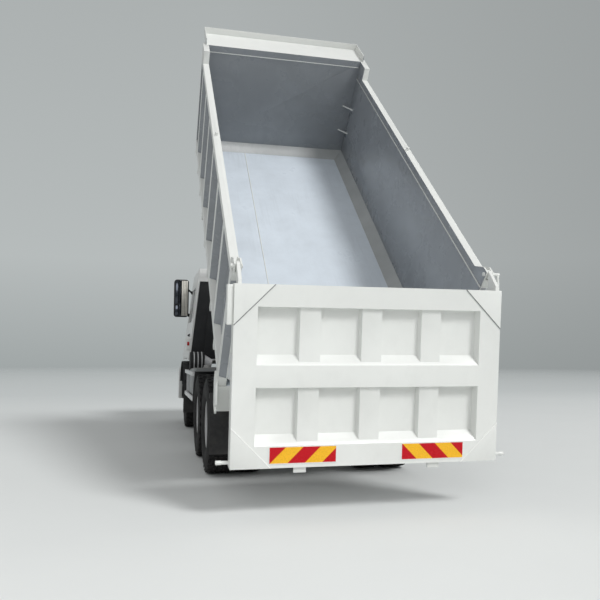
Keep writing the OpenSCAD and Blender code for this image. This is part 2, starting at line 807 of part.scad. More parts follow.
module knuckle(pin_top) {
    fork_r = boss_r - 4;
    low = axle_z - boss_h / 2 - fork_gap - fork_t;
    high = axle_z + boss_h / 2 + fork_gap + fork_t;
    difference() {
        union() {
            for (z = [low, high - fork_t]) {
                translate([kingpin_half, 0, z]) cylinder(r = fork_r, h = fork_t);
                box([kingpin_half, -fork_r + 6, z], [knuckle_x + eps, fork_r - 6, z + fork_t]);
            }
            box([knuckle_x, -fork_r + 6, low], [knuckle_x + knuckle_web, fork_r - 6, high]);
        }
        translate([kingpin_half, 0, low - eps]) cylinder(r = kingpin_r + run, h = high - low + 2 * eps);
    }
    translate([0, 0, axle_z]) cross_pin(spindle_r, knuckle_x + knuckle_web - eps, front_track_half + 90);
    translate([kingpin_half - arm_in, 0, arm_z]) {
        box([-25, -steer_arm - 30, -arm_t], [25, 20, 0]);
        box([-25, -fork_r + 10, -arm_t], [arm_in + 30, -kingpin_r - 8, eps]);
        translate([0, -steer_arm, -eps]) cylinder(r = tie_pin_r, h = pin_top + eps);
    }
}

tie_gap = 1;
tie_eye_h = 40;

module left_knuckle() { color("dimgray") on_truck() mirror([1, 0, 0]) knuckle(tie_gap + tie_eye_h); }

module right_knuckle() { color("dimgray") on_truck() knuckle(tie_gap - seat); }

module tie_rod() {
    half = kingpin_half - arm_in;
    z0 = arm_z + tie_gap;
    color("dimgray") on_truck() translate([0, -steer_arm, z0]) difference() {
        union() {
            for (x = [-half, half]) translate([x, 0, 0]) cylinder(r = tie_eye_r, h = tie_eye_h);
            translate([0, 0, tie_eye_h / 2])
                cross_pin(tie_rod_r - 4, -half + tie_pin_r + 4, half - tie_pin_r - 4);
        }
        translate([-half, 0, -eps]) cylinder(r = tie_pin_r + run, h = tie_eye_h + 2 * eps);
    }
}

// Wheels, made with their axis along X and their outer side towards +X
flange_h = 20;
rim_t = 12;
disc_t = 14;
hub_r = 110;
stud_hole_count = 8;
hand_hole_r = 30;

module ring(points) { rotate([0, 90, 0]) rotate_extrude($fn = 96) polygon(points); }

module tyre() {
    r0 = rim_d / 2;
    r1 = tyre_d / 2;
    rise = r1 - r0;
    half = tyre_w / 2;
    side = [[0.45, 0], [0.8, -6], [0.93, -22], [0.985, -42], [1, -62]];
    outer = concat([[r0 + seat, -bead_w / 2], [r0 + flange_h + 4, -bead_w / 2]],
                   [for (p = side) [r0 + rise * p[0], -half - p[1]]],
                   [for (i = [len(side) - 1 : -1 : 0]) [r0 + rise * side[i][0], half + side[i][1]]],
                   [[r0 + flange_h + 4, bead_w / 2], [r0 + seat, bead_w / 2]]);
    inner = [[r0 - eps, -bead_w / 2 + tyre_wall], [r0 + flange_h, -bead_w / 2 + tyre_wall],
             [r0 + 0.45 * rise, -half + tyre_wall], [r1 - 2 * tyre_wall, -half + 1.6 * tyre_wall],
             [r1 - 1.4 * tyre_wall, -half + 3 * tyre_wall], [r1 - 1.4 * tyre_wall, half - 3 * tyre_wall],
             [r1 - 2 * tyre_wall, half - 1.6 * tyre_wall], [r0 + 0.45 * rise, half - tyre_wall],
             [r0 + flange_h, bead_w / 2 - tyre_wall], [r0 - eps, bead_w / 2 - tyre_wall]];
    difference() {
        ring(outer);
        ring(inner);
    }
}

// Rim barrel with a dished disc; the disc's middle lies disc_x from the barrel's middle
module rim(disc_x, disc_r) {
    r = rim_d / 2;
    e = bead_w / 2 + seat;
    s = sign(disc_x);
    difference() {
        union() {
            ring([[r - rim_t, -e - rim_t], [r + flange_h, -e - rim_t], [r + flange_h, -e], [r, -e], [r, e],
                  [r + flange_h, e], [r + flange_h, e + rim_t], [r - rim_t, e + rim_t]]);
            ring([[r - rim_t + eps, s * (e - 60)], [disc_r + 60, disc_x], [disc_r - 40, disc_x],
                  [disc_r - 40, disc_x - s * disc_t], [disc_r + 50, disc_x - s * disc_t],
                  [r - rim_t + eps, s * (e - 84)]]);
        }
        for (i = [0 : stud_hole_count - 1])
            rotate([360 * i / stud_hole_count, 0, 0])
                translate([min(disc_x, 0) - 60, 0, (r + disc_r) / 2 + 18])
                    rotate([0, 90, 0]) cylinder(r = hand_hole_r, h = abs(disc_x) + 120);
    }
}

module front_rim() {
    disc_x = 70;
    difference() {
        union() {
            rim(disc_x, hub_r + 30);
            cross_pin(hub_r - 10, -70, disc_x + 20);
            cross_pin(hub_r - 36, disc_x, disc_x + 75);
            ring([[hub_r - 20, disc_x - disc_t], [hub_r + 5, disc_x - disc_t], [hub_r + 5, disc_x + 6],
                  [hub_r - 20, disc_x + 6]]);
            cross_pin(hub_r + 5, disc_x - disc_t, disc_x);
        }
        cross_pin(spindle_r + run, -71, 95);
    }
}

module twin_rims() {
    half = twin_pitch / 2;
    difference() {
        union() {
            translate([half, 0, 0]) rim(-half, hub_r + 40);
            translate([-half, 0, 0]) rim(half, hub_r + 40);
            cross_pin(hub_r + 10, -110, 120);
            cross_pin(hub_r - 20, 119, 150);
        }
        cross_pin(drive_spindle_r + run, -111, 95);
    }
}

module twin_tyres() { for (s = [-1, 1]) translate([s * twin_pitch / 2, 0, 0]) tyre(); }

module front_wheel_place(side) {
    on_truck() translate([side * front_track_half, 0, axle_z]) mirror([side < 0 ? 1 : 0, 0, 0]) children();
}

module drive_wheel_place(side, y) {
    on_truck() translate([side * twin_mid, y, axle_z]) mirror([side < 0 ? 1 : 0, 0, 0]) children();
}

module front_left_rim() { color("silver") front_wheel_place(-1) front_rim(); }
module front_left_tyre() { color("black") front_wheel_place(-1) tyre(); }
module front_right_rim() { color("silver") front_wheel_place(1) front_rim(); }
module front_right_tyre() { color("black") front_wheel_place(1) tyre(); }
module middle_left_rims() { color("silver") drive_wheel_place(-1, middle_y) twin_rims(); }
module middle_left_tyres() { color("black") drive_wheel_place(-1, middle_y) twin_tyres(); }
module middle_right_rims() { color("silver") drive_wheel_place(1, middle_y) twin_rims(); }
module middle_right_tyres() { color("black") drive_wheel_place(1, middle_y) twin_tyres(); }
module rear_left_rims() { color("silver") drive_wheel_place(-1, rear_y) twin_rims(); }
module rear_left_tyres() { color("black") drive_wheel_place(-1, rear_y) twin_tyres(); }
module rear_right_rims() { color("silver") drive_wheel_place(1, rear_y) twin_rims(); }
module rear_right_tyres() { color("black") drive_wheel_place(1, rear_y) twin_tyres(); }

// Cab: half width at a height, how far the windscreen's line has leaned back there, and the roof's front
function half_at(z) = cab_half - (z - cab_z0) * tan(cab_lean);
function raked(z) = screen_rake * (z - screen_z0) / (screen_z1 - screen_z0);
function screen_y(z) = cab_front - raked(z);
function roof_y(z) = screen_top_y - (z - screen_z1) * (screen_top_y - roof_front) / (cab_z1 - screen_z1);

// Corner points, in (x, z), of a band across the cab that keeps off its sides by an inset
function cab_band(z0, z1, inset) = [[-half_at(z0) + inset, z0], [half_at(z0) - inset, z0],
                                    [half_at(z1) - inset, z1], [-half_at(z1) + inset, z1]];

// Corner points, in (x, z), of a layer of the right side between two depths
function side_layer(z0, z1, deep, shallow) = [[half_at(z0) - deep, z0], [half_at(z0) - shallow, z0],
                                              [half_at(z1) - shallow, z1], [half_at(z1) - deep, z1]];

roof_split = screen_z1 + 20;
roof_edge = 60;
roof_edge_h = 80;
screen_margin = 110;
door_low = cab_z0 + 30;
door_high = screen_z1 - 30;
door_lead = 60;
window_low = screen_z0 + 90;
window_margin = 90;

module cab_solid(inset, open_below) {
    z0 = cab_z0 - open_below;
    z1 = cab_z1 - inset;
    front = cab_front - inset;
    rear = cab_rear + inset;
    intersection() {
        long_bar(cab_band(z0, z1, inset), cab_rear - eps, cab_front + eps);
        side_plate([[front, z0], [front, screen_z0], [screen_top_y - inset, screen_z1],
                    [roof_front - inset, z1], [rear + roof_edge, z1], [rear, z1 - roof_edge_h], [rear, z0]],
                   -cab_half - 10, cab_half + 10);
    }
}

// The door's outline in side view, made smaller by a gap; its slanted edge starts lower by a lead, so that
// it swings clear of the pillar
function door_outline(gap, lead) =
    [[door_rear + gap, door_low + gap], [door_front - gap, door_low + gap],
     [door_front - gap, screen_z0 - lead],
     [door_front - gap - raked(door_high - gap + lead), door_high - gap],
     [door_rear + gap, door_high - gap]];

window_front = door_front - window_margin;
window_high = door_high - window_margin;
window_outline = [[door_rear + window_margin, window_low], [window_front - raked(window_low), window_low],
                  [window_front - raked(window_high), window_high], [door_rear + window_margin, window_high]];

screen_outline = cab_band(screen_z0 + 60, screen_z1 - 30, screen_margin);

// Door hinges: the axis follows the lean of the cab's side
hinge_y = door_front - door_gap - 15;
hinge_in = 14;
hinge_pin_r = 8;
hinge_zs = [door_low + 180, screen_z0 - 120];
hinge_h = 30;

module at_hinge(z) { translate([half_at(z) - hinge_in, hinge_y, z]) rotate([0, -cab_lean, 0]) children(); }

module cab_hull() {
    difference() {
        cab_solid(0, 0);
        cab_solid(cab_wall, 50);
        side_plate(door_outline(0, 0), -cab_half - 20, cab_half + 20);
        long_bar(screen_outline, roof_front - 100, cab_front + 10);
    }
}

grille_low = cab_z0 + 60;
grille_high = screen_z0 - 70;
grille_half = 720;
apron_half = bumper_half - bumper_corner - 50;

module cab_shell() {
    color("white") on_truck() {
        difference() {
            intersection() {
                cab_hull();
                box([-cab_half - 20, cab_rear - 10, cab_z0 - 10],
                    [cab_half + 20, cab_front + 10, roof_split]);
            }
            box([-grille_half, cab_front - cab_wall - eps, grille_low],
                [grille_half, cab_front + eps, grille_high]);
        }
        box([-apron_half, cab_front - cab_wall, apron_z], [apron_half, cab_front, cab_z0 + eps]);
        both_sides() for (z = hinge_zs) at_hinge(z) {
            translate([0, 0, -hinge_h]) cylinder(r = hinge_pin_r, h = 2 * hinge_h);
            translate([-hinge_pin_r, 0, -hinge_h / 3])
                cube([2 * hinge_pin_r, 15 + door_gap + eps, 2 * hinge_h / 3]);
        }
    }
}

visor_out = 160;

module cab_roof() {
    visor_z = roof_split + 30;
    visor_y = screen_y(visor_z) + visor_out;
    color("white") on_truck() {
        intersection() {
            cab_hull();
            box([-cab_half, cab_rear - 10, roof_split], [cab_half, cab_front + 10, cab_z1 + 10]);
        }
        side_plate([[roof_y(visor_z + 60) - 15, visor_z + 60], [roof_y(visor_z + 75) - 15, visor_z + 75],
                    [visor_y, visor_z + 5], [visor_y, visor_z - 60],
                    [visor_y - 15, visor_z - 60], [visor_y - 15, visor_z - 10]],
                   -half_at(visor_z) + 60, half_at(visor_z) - 60);
    }
}

module cab_floor() {
    inner = half_at(floor_z) - cab_wall - 8;
    ear_r = cab_lug_r - 8;
    color("dimgray") on_truck() {
        box([-inner, cab_rear + cab_wall, floor_z], [inner, cab_front - cab_wall, deck_z]);
        both_sides() translate([0, cab_pivot_y, cab_pivot_z]) difference() {
            union() {
                box([cab_ear_x0, -ear_r + 2, 0], [cab_ear_x1, ear_r - 2, floor_z - cab_pivot_z + eps]);
                cross_pin(ear_r, cab_ear_x0, cab_ear_x1);
            }
            cross_pin(cab_pin_r + run, cab_ear_x0 - eps, cab_ear_x1 + eps);
        }
    }
}

screen_in = 10;

module windscreen() {
    z0 = screen_z0 + 50;
    z1 = screen_z1 - 20;
    y0 = screen_y(z0) - screen_in;
    y1 = screen_y(z1) - screen_in;
    color("slategray") on_truck() intersection() {
        long_bar(screen_outline, roof_front - 100, cab_front + 10);
        side_plate([[y0, z0], [y1, z1], [y1 - glass_t, z1], [y0 - glass_t, z0]], -cab_half, cab_half);
    }
}

slat_count = 6;
slat_share = 0.55;
grille_edge = 50;
grille_out = 12;

module grille() {
    pitch = (grille_high - grille_low) / slat_count;
    open_half = grille_half - grille_edge;
    color("black") on_truck() difference() {
        box([-grille_half, cab_front - cab_wall, grille_low],
            [grille_half, cab_front + grille_out, grille_high]);
        for (i = [0 : slat_count - 1])
            translate([0, 0, grille_low + (i + 0.85 - (1 - slat_share)) * pitch])
                box([-open_half, cab_front - 20, 0],
                    [open_half, cab_front + grille_out + eps, (1 - slat_share) * pitch]);
        box([-open_half, cab_front - cab_wall - eps, grille_low + 40],
            [open_half, cab_front - 30, grille_high - 40]);
    }
}

wheel_rim_r = 225;
driver_x = -520;
seat_w = 520;
seat_len = 520;
seat_foot_h = 260;
cushion_h = 140;
back_h = 680;
back_lean = 130;
column_reach = 560;

module dashboard() {
    inner = half_at(screen_z0) - cab_wall - 70;
    front = cab_front - cab_wall;
    top = screen_z0 + 40;
    column_y = front - column_reach;
    color("darkslategray") on_truck() {
        side_plate([[front, deck_z], [front, screen_z0], [front - raked(top) - eps, top],
                    [front - 330, screen_z0 + 20], [front - 400, screen_z0 - 130], [front - 180, deck_z]],
                   -inner, inner);
        shaft([driver_x, front - 250, deck_z + 300], [driver_x, column_y, screen_z0 + 60], 40);
        translate([driver_x, column_y, screen_z0 + 60]) rotate([35, 0, 0]) {
            rotate_extrude() translate([wheel_rim_r, 0]) circle(r = 17);
            cylinder(r = 60, h = 30, center = true);
            for (a = [0, 120, 240])
                rotate([0, 0, a + 90]) translate([40, -18, -8]) cube([wheel_rim_r - 40, 36, 16]);
        }
    }
}

module seats() {
    y0 = cab_rear + cab_wall + 330;
    cushion_z = deck_z + seat_foot_h;
    back_z = cushion_z + cushion_h;
    color("gray") on_truck() for (x = [driver_x, -driver_x]) {
        box([x - seat_w / 2 + 60, y0 + 60, deck_z], [x + seat_w / 2 - 60, y0 + seat_len - 60, cushion_z]);
        box([x - seat_w / 2, y0, cushion_z - eps], [x + seat_w / 2, y0 + seat_len, back_z]);
        side_plate([[y0, back_z - eps], [y0 + back_lean, back_z - eps], [y0 - 10, back_z + back_h],
                    [y0 - 120, back_z + back_h]], x - seat_w / 2, x + seat_w / 2);
    }
}

module door_slab() {
    slot = 2 * hinge_h / 3 + 2 * clear;
    difference() {
        intersection() {
            long_bar(side_layer(door_low, door_high, cab_wall, 0), door_rear, door_front);
            side_plate(door_outline(door_gap, door_lead), 0, cab_half + 20);
        }
        side_plate(window_outline, 0, cab_half + 20);
        for (z = hinge_zs) at_hinge(z) {
            translate([0, 0, -hinge_h - clear]) cylinder(r = hinge_pin_r + run, h = 2 * (hinge_h + clear));
            translate([-hinge_pin_r - 26, -hinge_pin_r - 8, -slot / 2])
                cube([2 * hinge_pin_r + 60, 60, slot]);
        }
    }
}

module door_pane() {
    mid = cab_wall / 2;
    intersection() {
        long_bar(side_layer(window_low - 10, door_high, mid + glass_t, mid), door_rear, door_front);
        side_plate(window_outline, 0, cab_half + 20);
    }
}

mirror_y = 850;
mirror_in = 1075;
mirror_out = 1380;
mirror_low = cab_z0 + 900;
mirror_high = cab_z0 + 1690;
mirror_t = 90;
arm_pad = 64;
arm_pad_t = 30;
arm_r = 18;
// Columns: height of the arm's foot, its place along the door, rise to the mirror
mirror_arms = [[mirror_low + 40, mirror_y + 110, 60], [mirror_high - 280, mirror_y - 17, 100]];

module mirror_head() {
    head = rounded([mirror_in, mirror_low], [mirror_out, mirror_high], 60);
    long_bar(head, mirror_y, mirror_y + mirror_t);
    for (arm = mirror_arms) {
        z = arm[0];
        translate([half_at(z) + seat, arm[1], z]) rotate([0, -cab_lean, 0])
            box([0, -arm_pad / 2, -arm_pad / 2], [arm_pad_t, arm_pad / 2, arm_pad / 2]);
        shaft([half_at(z) + arm_pad_t - 8, arm[1], z],
              [mirror_in + 40, mirror_y + mirror_t / 2, z + arm[2]], arm_r);
    }
}

module left_door() { color("white") on_truck() mirror([1, 0, 0]) door_slab(); }
module left_door_glass() { color("slategray") on_truck() mirror([1, 0, 0]) door_pane(); }
module left_mirror() { color("black") on_truck() mirror([1, 0, 0]) mirror_head(); }
module right_door() { color("white") on_truck() door_slab(); }
module right_door_glass() { color("slategray") on_truck() door_pane(); }
module right_mirror() { color("black") on_truck() mirror_head(); }

// Bed, in its own frame: Y along the floor from its rear edge, Z up from the floor
floor_beam_count = 9;
floor_beam_w = 60;
floor_beam_h = 110;
tail_beam_up = 60;
end_block_h = 380;
end_block_w = 150;
end_block_len = 150;

module bed_floor() {
    pitch = (bed_len - floor_beam_w) / (floor_beam_count - 1);
    s = slope_size;
    t = plate_t;
    lap = 1.4 * t;
    slope = [[-s, -eps], [lap - s, -eps], [0, s - lap], [0, s], [-s, 0]];
    lug_x0 = beam_x0 + 10;
    lug_x1 = beam_x1 - 10;
    beam_rear = pivot_ahead + pivot_lug_r + 60;
    color("gainsboro") on_bed() {
        box([-bed_half, 0, -t], [bed_half, bed_len, 0]);
        for (i = [0 : floor_beam_count - 1])
            translate([0, i * pitch, -t]) box([-body_half, 0, -floor_beam_h], [body_half, floor_beam_w, 0]);
        both_sides() {
            difference() {
                union() {
                    box([beam_x0, beam_rear, -pivot_below], [beam_x1, bed_len, -t]);
                    box([lug_x0, 0, tail_beam_up - pivot_below], [lug_x1, beam_rear + eps, -t]);
                    translate([0, pivot_ahead, -pivot_below]) {
                        side_plate([[-pivot_lug_r, 0], [pivot_lug_r, 0], [pivot_lug_r + 40, beam_h],
                                    [-pivot_lug_r - 40, beam_h]], lug_x0, lug_x1);
                        cross_pin(pivot_lug_r, lug_x0, lug_x1);
                    }
                }
                translate([0, pivot_ahead, -pivot_below]) cross_pin(pivot_r + run, beam_x0, beam_x1);
            }
            long_bar([for (p = slope) [bed_half + p.x, p.y]], 0, bed_len);
            box([body_half - end_block_w, 0, -end_block_h], [body_half, end_block_len, -t]);
        }
        side_plate([for (p = slope) [bed_len + p.x, p.y]], -bed_half, bed_half);
    }
}

rib_t = 6;
ear_t = 30;
ear_x = body_half - 60;
hinge_plate_t = 15;
hinge_plate_len = 230;
hinge_plate_xs = [ear_x - clear - hinge_plate_t, ear_x + ear_t + clear];
hinge_out = hinge_plate_xs[1] + hinge_plate_t;
lock_pin_r = 16;
lock_pin_up = 45;
fork_plate_t = 20;
fork_off = clear + eps;
fork_foot = 160;
tarp_lug_y = 0.51 * bed_len;
tarp_lug_r = 18;
tarp_lug_h = 40;

// Section of a side wall's rib, seen from above
function rib_section(x0, x1, foot, face) = [[x0, -foot / 2], [x1, -face / 2], [x1, face / 2], [x0, foot / 2]];

// Fork that takes the closed tailgate's lock pin, open to the rear
module lock_fork() {
    u = gate_axis_ahead - gate_in - gate_t / 2;
    w = lock_pin_up - gate_below;
    gap = lock_pin_r + clear;
    mouth = u - 40;
    x = body_half + fork_off;
    side_plate([[fork_foot, skirt_h / 2], [0, skirt_h / 2], [mouth, w + 75], [mouth, w + gap + 11],
                [u + gap, w + gap + 1], [u + gap, w - gap], [mouth, w - gap], [mouth, w - 60],
                [u + 80, w - 60], [fork_foot, -60]], x, x + fork_plate_t);
    box([body_half - eps, 20, 5], [x + eps, fork_foot, skirt_h / 2]);
}

module side_wall() {
    t = plate_t;
    rail_low = side_h - top_rail_h;
    pitch = (bed_len - step_len - rib_foot) / (rib_count - 1);
    rib_ys = [for (i = [0 : rib_count - 1]) rib_foot / 2 + i * pitch];
    inner = bed_half + rib_t;
    outer = body_half - rib_t;
    difference() {
        union() {
            box([bed_half, 0, 0], [bed_half + t, bed_len, rail_low + eps]);
            box([bed_half, 0, rail_low], [body_half, bed_len, side_h]);
            box([bed_half, bed_len - step_len, side_h - eps], [body_half, bed_len, head_h]);
            box([bed_half, 0, 0], [body_half, bed_len, skirt_h]);
            for (y = rib_ys)
                translate([0, y, 0]) linear_extrude(rail_low + eps)
                    polygon(rib_section(bed_half + t - eps, body_half, rib_foot, rib_face));
        }
        box([inner, rib_t, rail_low + rib_t], [outer, bed_len + eps, side_h - rib_t]);
        box([inner, bed_len - step_len + rib_t, side_h - rib_t - eps],
            [outer, bed_len + eps, head_h - rib_t]);
        box([bed_half + t, rib_t, -eps], [outer, bed_len - rib_t, skirt_h - rib_t]);
        for (y = rib_ys)
            translate([0, y, -eps]) linear_extrude(rail_low + eps)
                polygon(rib_section(bed_half + t, outer, rib_foot - 4 * rib_t, rib_face - 2 * rib_t));
    }
    for (x = hinge_plate_xs)
        side_plate([[0, side_h - eps], [hinge_plate_len, side_h - eps],
                    [gate_axis_ahead + 50, gate_axis_up + 45], [gate_axis_ahead - 30, gate_axis_up + 45],
                    [0, gate_axis_up + 15]], x, x + hinge_plate_t);
    translate([0, gate_axis_ahead, gate_axis_up])
        cross_pin(gate_pin_r, hinge_plate_xs[0] - 10, hinge_out + 25);
    translate([bed_half + side_depth / 2, tarp_lug_y, side_h - eps]) cylinder(r = tarp_lug_r, h = tarp_lug_h);
    lock_fork();
}

handle_r = 13;
handle_x = body_half + 60;
handle_len = 430;

// Bent handle of the right hinge pin; it hangs straight down while the bed is raised
module pin_handle() {
    translate([0, gate_axis_ahead, gate_axis_up]) {
        cross_pin(handle_r + 2, hinge_out + 24, handle_x + handle_r + 2);
        translate([handle_x, 0, 0]) rotate([180 - tip_angle, 0, 0]) cylinder(r = handle_r, h = handle_len);
    }
}

rung_r = 11;
rung_across = 120;
rung_along = 130;
rung_ups = [0.3 * head_h, 0.55 * head_h];

// Foot rungs across the front right corner, from the headboard to the wall
module corner_rungs() {
    more = 40;
    for (w = rung_ups)
        intersection() {
            shaft([bed_half - rung_across - more, bed_len + more * rung_along / rung_across, w],
                  [bed_half + more, bed_len - rung_along - more * rung_along / rung_across, w], rung_r);
            box([bed_half - 2 * rung_across, bed_len - 2 * rung_along, w - 2 * rung_r],
                [bed_half + plate_t / 2, bed_len - seat, w + 2 * rung_r]);
        }
}

module bed_left_side() { color("white") on_bed() mirror([1, 0, 0]) side_wall(); }

module bed_right_side() {
    color("white") on_bed() {
        side_wall();
        pin_handle();
        corner_rungs();
    }
}

head_rib_h = 100;
head_rib_zs = [0, 0.325 * head_h, 0.65 * head_h, head_h - head_rib_h];
head_post_w = 80;
trunnion_lug_x = cover_r + 25;
trunnion_lug_t = 40;
trunnion_lug_r = 70;
canopy_half = body_half - 40;
canopy_gusset_xs = [250, 850];

module bed_headboard() {
    t = plate_t;
    canopy_front = bed_len + canopy_len;
    lug_x1 = trunnion_lug_x + trunnion_lug_t;
    color("white") on_bed() {
        box([-body_half, bed_len, 0], [body_half, bed_len + t, head_h]);
        for (z = head_rib_zs)
            box([-body_half, bed_len + t - eps, z], [body_half, head_out, z + head_rib_h]);
        both_sides() {
            for (x = [trunnion_lug_x - 20, body_half - head_post_w])
                box([x, bed_len + t - eps, 0], [x + head_post_w, head_out, head_h - eps]);
            translate([0, trunnion_u, trunnion_up]) difference() {
                union() {
                    side_plate([[-trunnion_ahead - eps, 190], [-trunnion_ahead - eps, -trunnion_up],
                                [0, -trunnion_lug_r], [0, trunnion_lug_r]], trunnion_lug_x, lug_x1);
                    cross_pin(trunnion_lug_r, trunnion_lug_x, lug_x1);
                }
                cross_pin(trunnion_r + run, trunnion_lug_x - eps, lug_x1 + eps);
            }
            box([canopy_half - t, bed_len, head_h - eps], [canopy_half, canopy_front, head_h + lip_h]);
            for (x = canopy_gusset_xs)
                side_plate([[head_out - eps, head_h - 380], [canopy_front - 40, head_h - t + eps],
                            [head_out - eps, head_h - t + eps]], x, x + t);
        }
        box([-canopy_half, bed_len, head_h - t], [canopy_half, canopy_front, head_h]);
        box([-canopy_half, canopy_front - t, head_h - eps], [canopy_half, canopy_front, head_h + lip_h]);
    }
}

// Tailgate, in its own frame: origin on the hinge axis, the panel hanging towards -Z
gate_half = gate_w / 2;
pocket_taper = 14;
pocket_columns = 4;
pocket_back = -gate_out + pocket_depth;
row_half = gate_half - gate_post_w;
row_h = (gate_h - 3 * gate_rail_h) / 2;

// Section of a recess that narrows or a rib that widens with depth, seen from above
function gate_section(half, taper, y0, y1) = [[-half, y0], [half, y0], [half - taper, y1], [taper - half, y1]];

// Recess between two rails, with a sloped ledge along its foot
module pocket_row() {
    intersection() {
        side_plate([[-gate_out - eps, 0], [pocket_back, -pocket_taper / 2], [pocket_back, pocket_depth - row_h],
                    [-gate_out - eps, -row_h]], -row_half, row_half);
        translate([0, 0, -row_h - eps]) linear_extrude(row_h + 2 * eps)
            polygon(gate_section(row_half, pocket_taper, -gate_out - eps, pocket_back));
    }
}

// Upright ribs that part a row into pockets and stand on its ledge
module row_ribs() {
    pitch = (2 * row_half + gate_rib_w) / pocket_columns;
    for (i = [1 : pocket_columns - 1])
        translate([i * pitch - row_half - gate_rib_w / 2, 0, -row_h - eps]) linear_extrude(row_h + 2 * eps)
            polygon(gate_section(gate_rib_w / 2, -pocket_taper, -gate_out + gate_rib_in, pocket_back + eps));
}

lock_pin_out = 70;
corner_leg = 350;
tab_x = 620;
tab_w = 110;
tab_h = 50;
tab_t = 20;
ear_r = 42;
ear_back = gate_axis_ahead + 10;

module tailgate() {
    row_zs = [-gate_drop - gate_rail_h, -gate_drop - 2 * gate_rail_h - row_h];
    color("white") on_gate() {
        difference() {
            box([-gate_half, -gate_out, -gate_low], [gate_half, -gate_in, -gate_drop]);
            for (z = row_zs) translate([0, 0, z]) pocket_row();
        }
        for (z = row_zs) translate([0, 0, z]) row_ribs();
        both_sides() {
            difference() {
                union() {
                    side_plate([[-gate_out, -gate_drop - eps], [-gate_in, -gate_drop - eps], [-ear_back, -60],
                                [-ear_back, 0], [0, ear_r], [-ear_r, 30], [-gate_out, -gate_drop + 40]],
                               ear_x, ear_x + ear_t);
                    cross_pin(ear_r, ear_x, ear_x + ear_t);
                }
                cross_pin(gate_pin_r + run, ear_x - eps, ear_x + ear_t + eps);
            }
            translate([0, -gate_in - gate_t / 2, lock_pin_up - gate_low])
                cross_pin(lock_pin_r, gate_half - eps, gate_half + lock_pin_out);
            for (edge = [[-gate_drop, -corner_leg], [-gate_low, corner_leg]])
                long_bar([[gate_half, edge[0]], [gate_half - corner_leg, edge[0]],
                          [gate_half, edge[0] + edge[1]]], -gate_out - corner_t, -gate_out + eps);
            translate([tab_x, -gate_out + tab_t, -gate_low])
                box([-tab_w / 2, 0, -tab_h], [tab_w / 2, tab_t, eps]);
        }
    }
}

board_w = 600;
board_h = 150;
board_in = 300;
board_t = 4;

module chevron_boards() {
    top = -gate_low + gate_rail_h - 5;
    color("gold") on_gate() both_sides()
        box([board_in, -gate_out - board_t, top - board_h], [board_in + board_w, -gate_out, top]);
}

// Hoist, in the cover's frame: Z along the cylinder, origin on the trunnions
outer_r = cover_r - stage_wall - stage_gap;
inner_r = outer_r - stage_wall - stage_gap;
rod_r = inner_r - stage_wall - stage_gap;
module tube(r, z0, z1, bore_r, bore_top) {
    difference() {
        translate([0, 0, z0]) cylinder(r = r, h = z1 - z0);
        translate([0, 0, z0 - eps]) cylinder(r = bore_r, h = bore_top - z0 + eps);
    }
}

module hoist_cover() {
    color("silver") on_cover() {
        tube(cover_r, -cover_below, cover_above, outer_r + stage_gap, cover_above - stage_cap);
        both_sides() cross_pin(trunnion_r, cover_r - 6, trunnion_lug_x + trunnion_lug_t + 15);
    }
}

module hoist_outer_stage() {
    color("silver") on_cover() translate([0, 0, -stage_stroke])
        tube(outer_r, -cover_below - stage_foot, stage_top, inner_r + stage_gap, stage_top - stage_cap);
}

module hoist_inner_stage() {
    color("silver") on_cover() translate([0, 0, -2 * stage_stroke])
        tube(inner_r, -cover_below - 2 * stage_foot, stage_top - 2 * stage_cap, rod_r + stage_gap,
             stage_top - 3 * stage_cap);
}

eye_r = 62;

module hoist_rod() {
    color("silver") on_cover() translate([0, 0, -3 * stage_stroke]) difference() {
        union() {
            translate([0, 0, 2 * stage_cap - hoist_shut])
                cylinder(r = rod_r, h = hoist_shut + stage_top - 6 * stage_cap);
            translate([0, 0, -hoist_shut]) cross_pin(eye_r, -eye_half, eye_half);
        }
        translate([0, 0, -hoist_shut]) {
            cross_pin(base_pin_r + run, -eye_half - rod_r, eye_half + rod_r);
            for (s = [-1, 1])
                translate([s * (eye_half + 50), 0, 0]) cube([100, 3 * eye_r, 2 * eye_r + 60], center = true);
        }
    }
}

frame_rails();
tipping_subframe();
front_axle();
drive_axles();
leaf_springs();
powertrain();
fuel_tank();
battery_box();
exhaust_silencer();
front_bumper();
headlamps();
front_mudguards();
cab_steps();
side_guards();
rear_mudguards();
rear_lamps();
hoist_base();
left_knuckle();
right_knuckle();
tie_rod();
front_left_rim();
front_left_tyre();
front_right_rim();
front_right_tyre();
middle_left_rims();
middle_left_tyres();
middle_right_rims();
middle_right_tyres();
rear_left_rims();
rear_left_tyres();
rear_right_rims();
rear_right_tyres();
cab_shell();
cab_roof();
cab_floor();
windscreen();
grille();
dashboard();
seats();
left_door();
left_door_glass();
left_mirror();
right_door();
right_door_glass();
right_mirror();
bed_floor();
bed_left_side();
bed_right_side();
bed_headboard();
tailgate();
chevron_boards();
hoist_cover();
hoist_outer_stage();
hoist_inner_stage();
hoist_rod();
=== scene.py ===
"""Looks of a three-axle dump truck with its bed raised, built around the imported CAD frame."""

import json
import logging
import math
from dataclasses import dataclass
from enum import Enum
from typing import Any, Callable, Iterable, Sequence

import bmesh
import bpy
from mathutils import Matrix, Vector


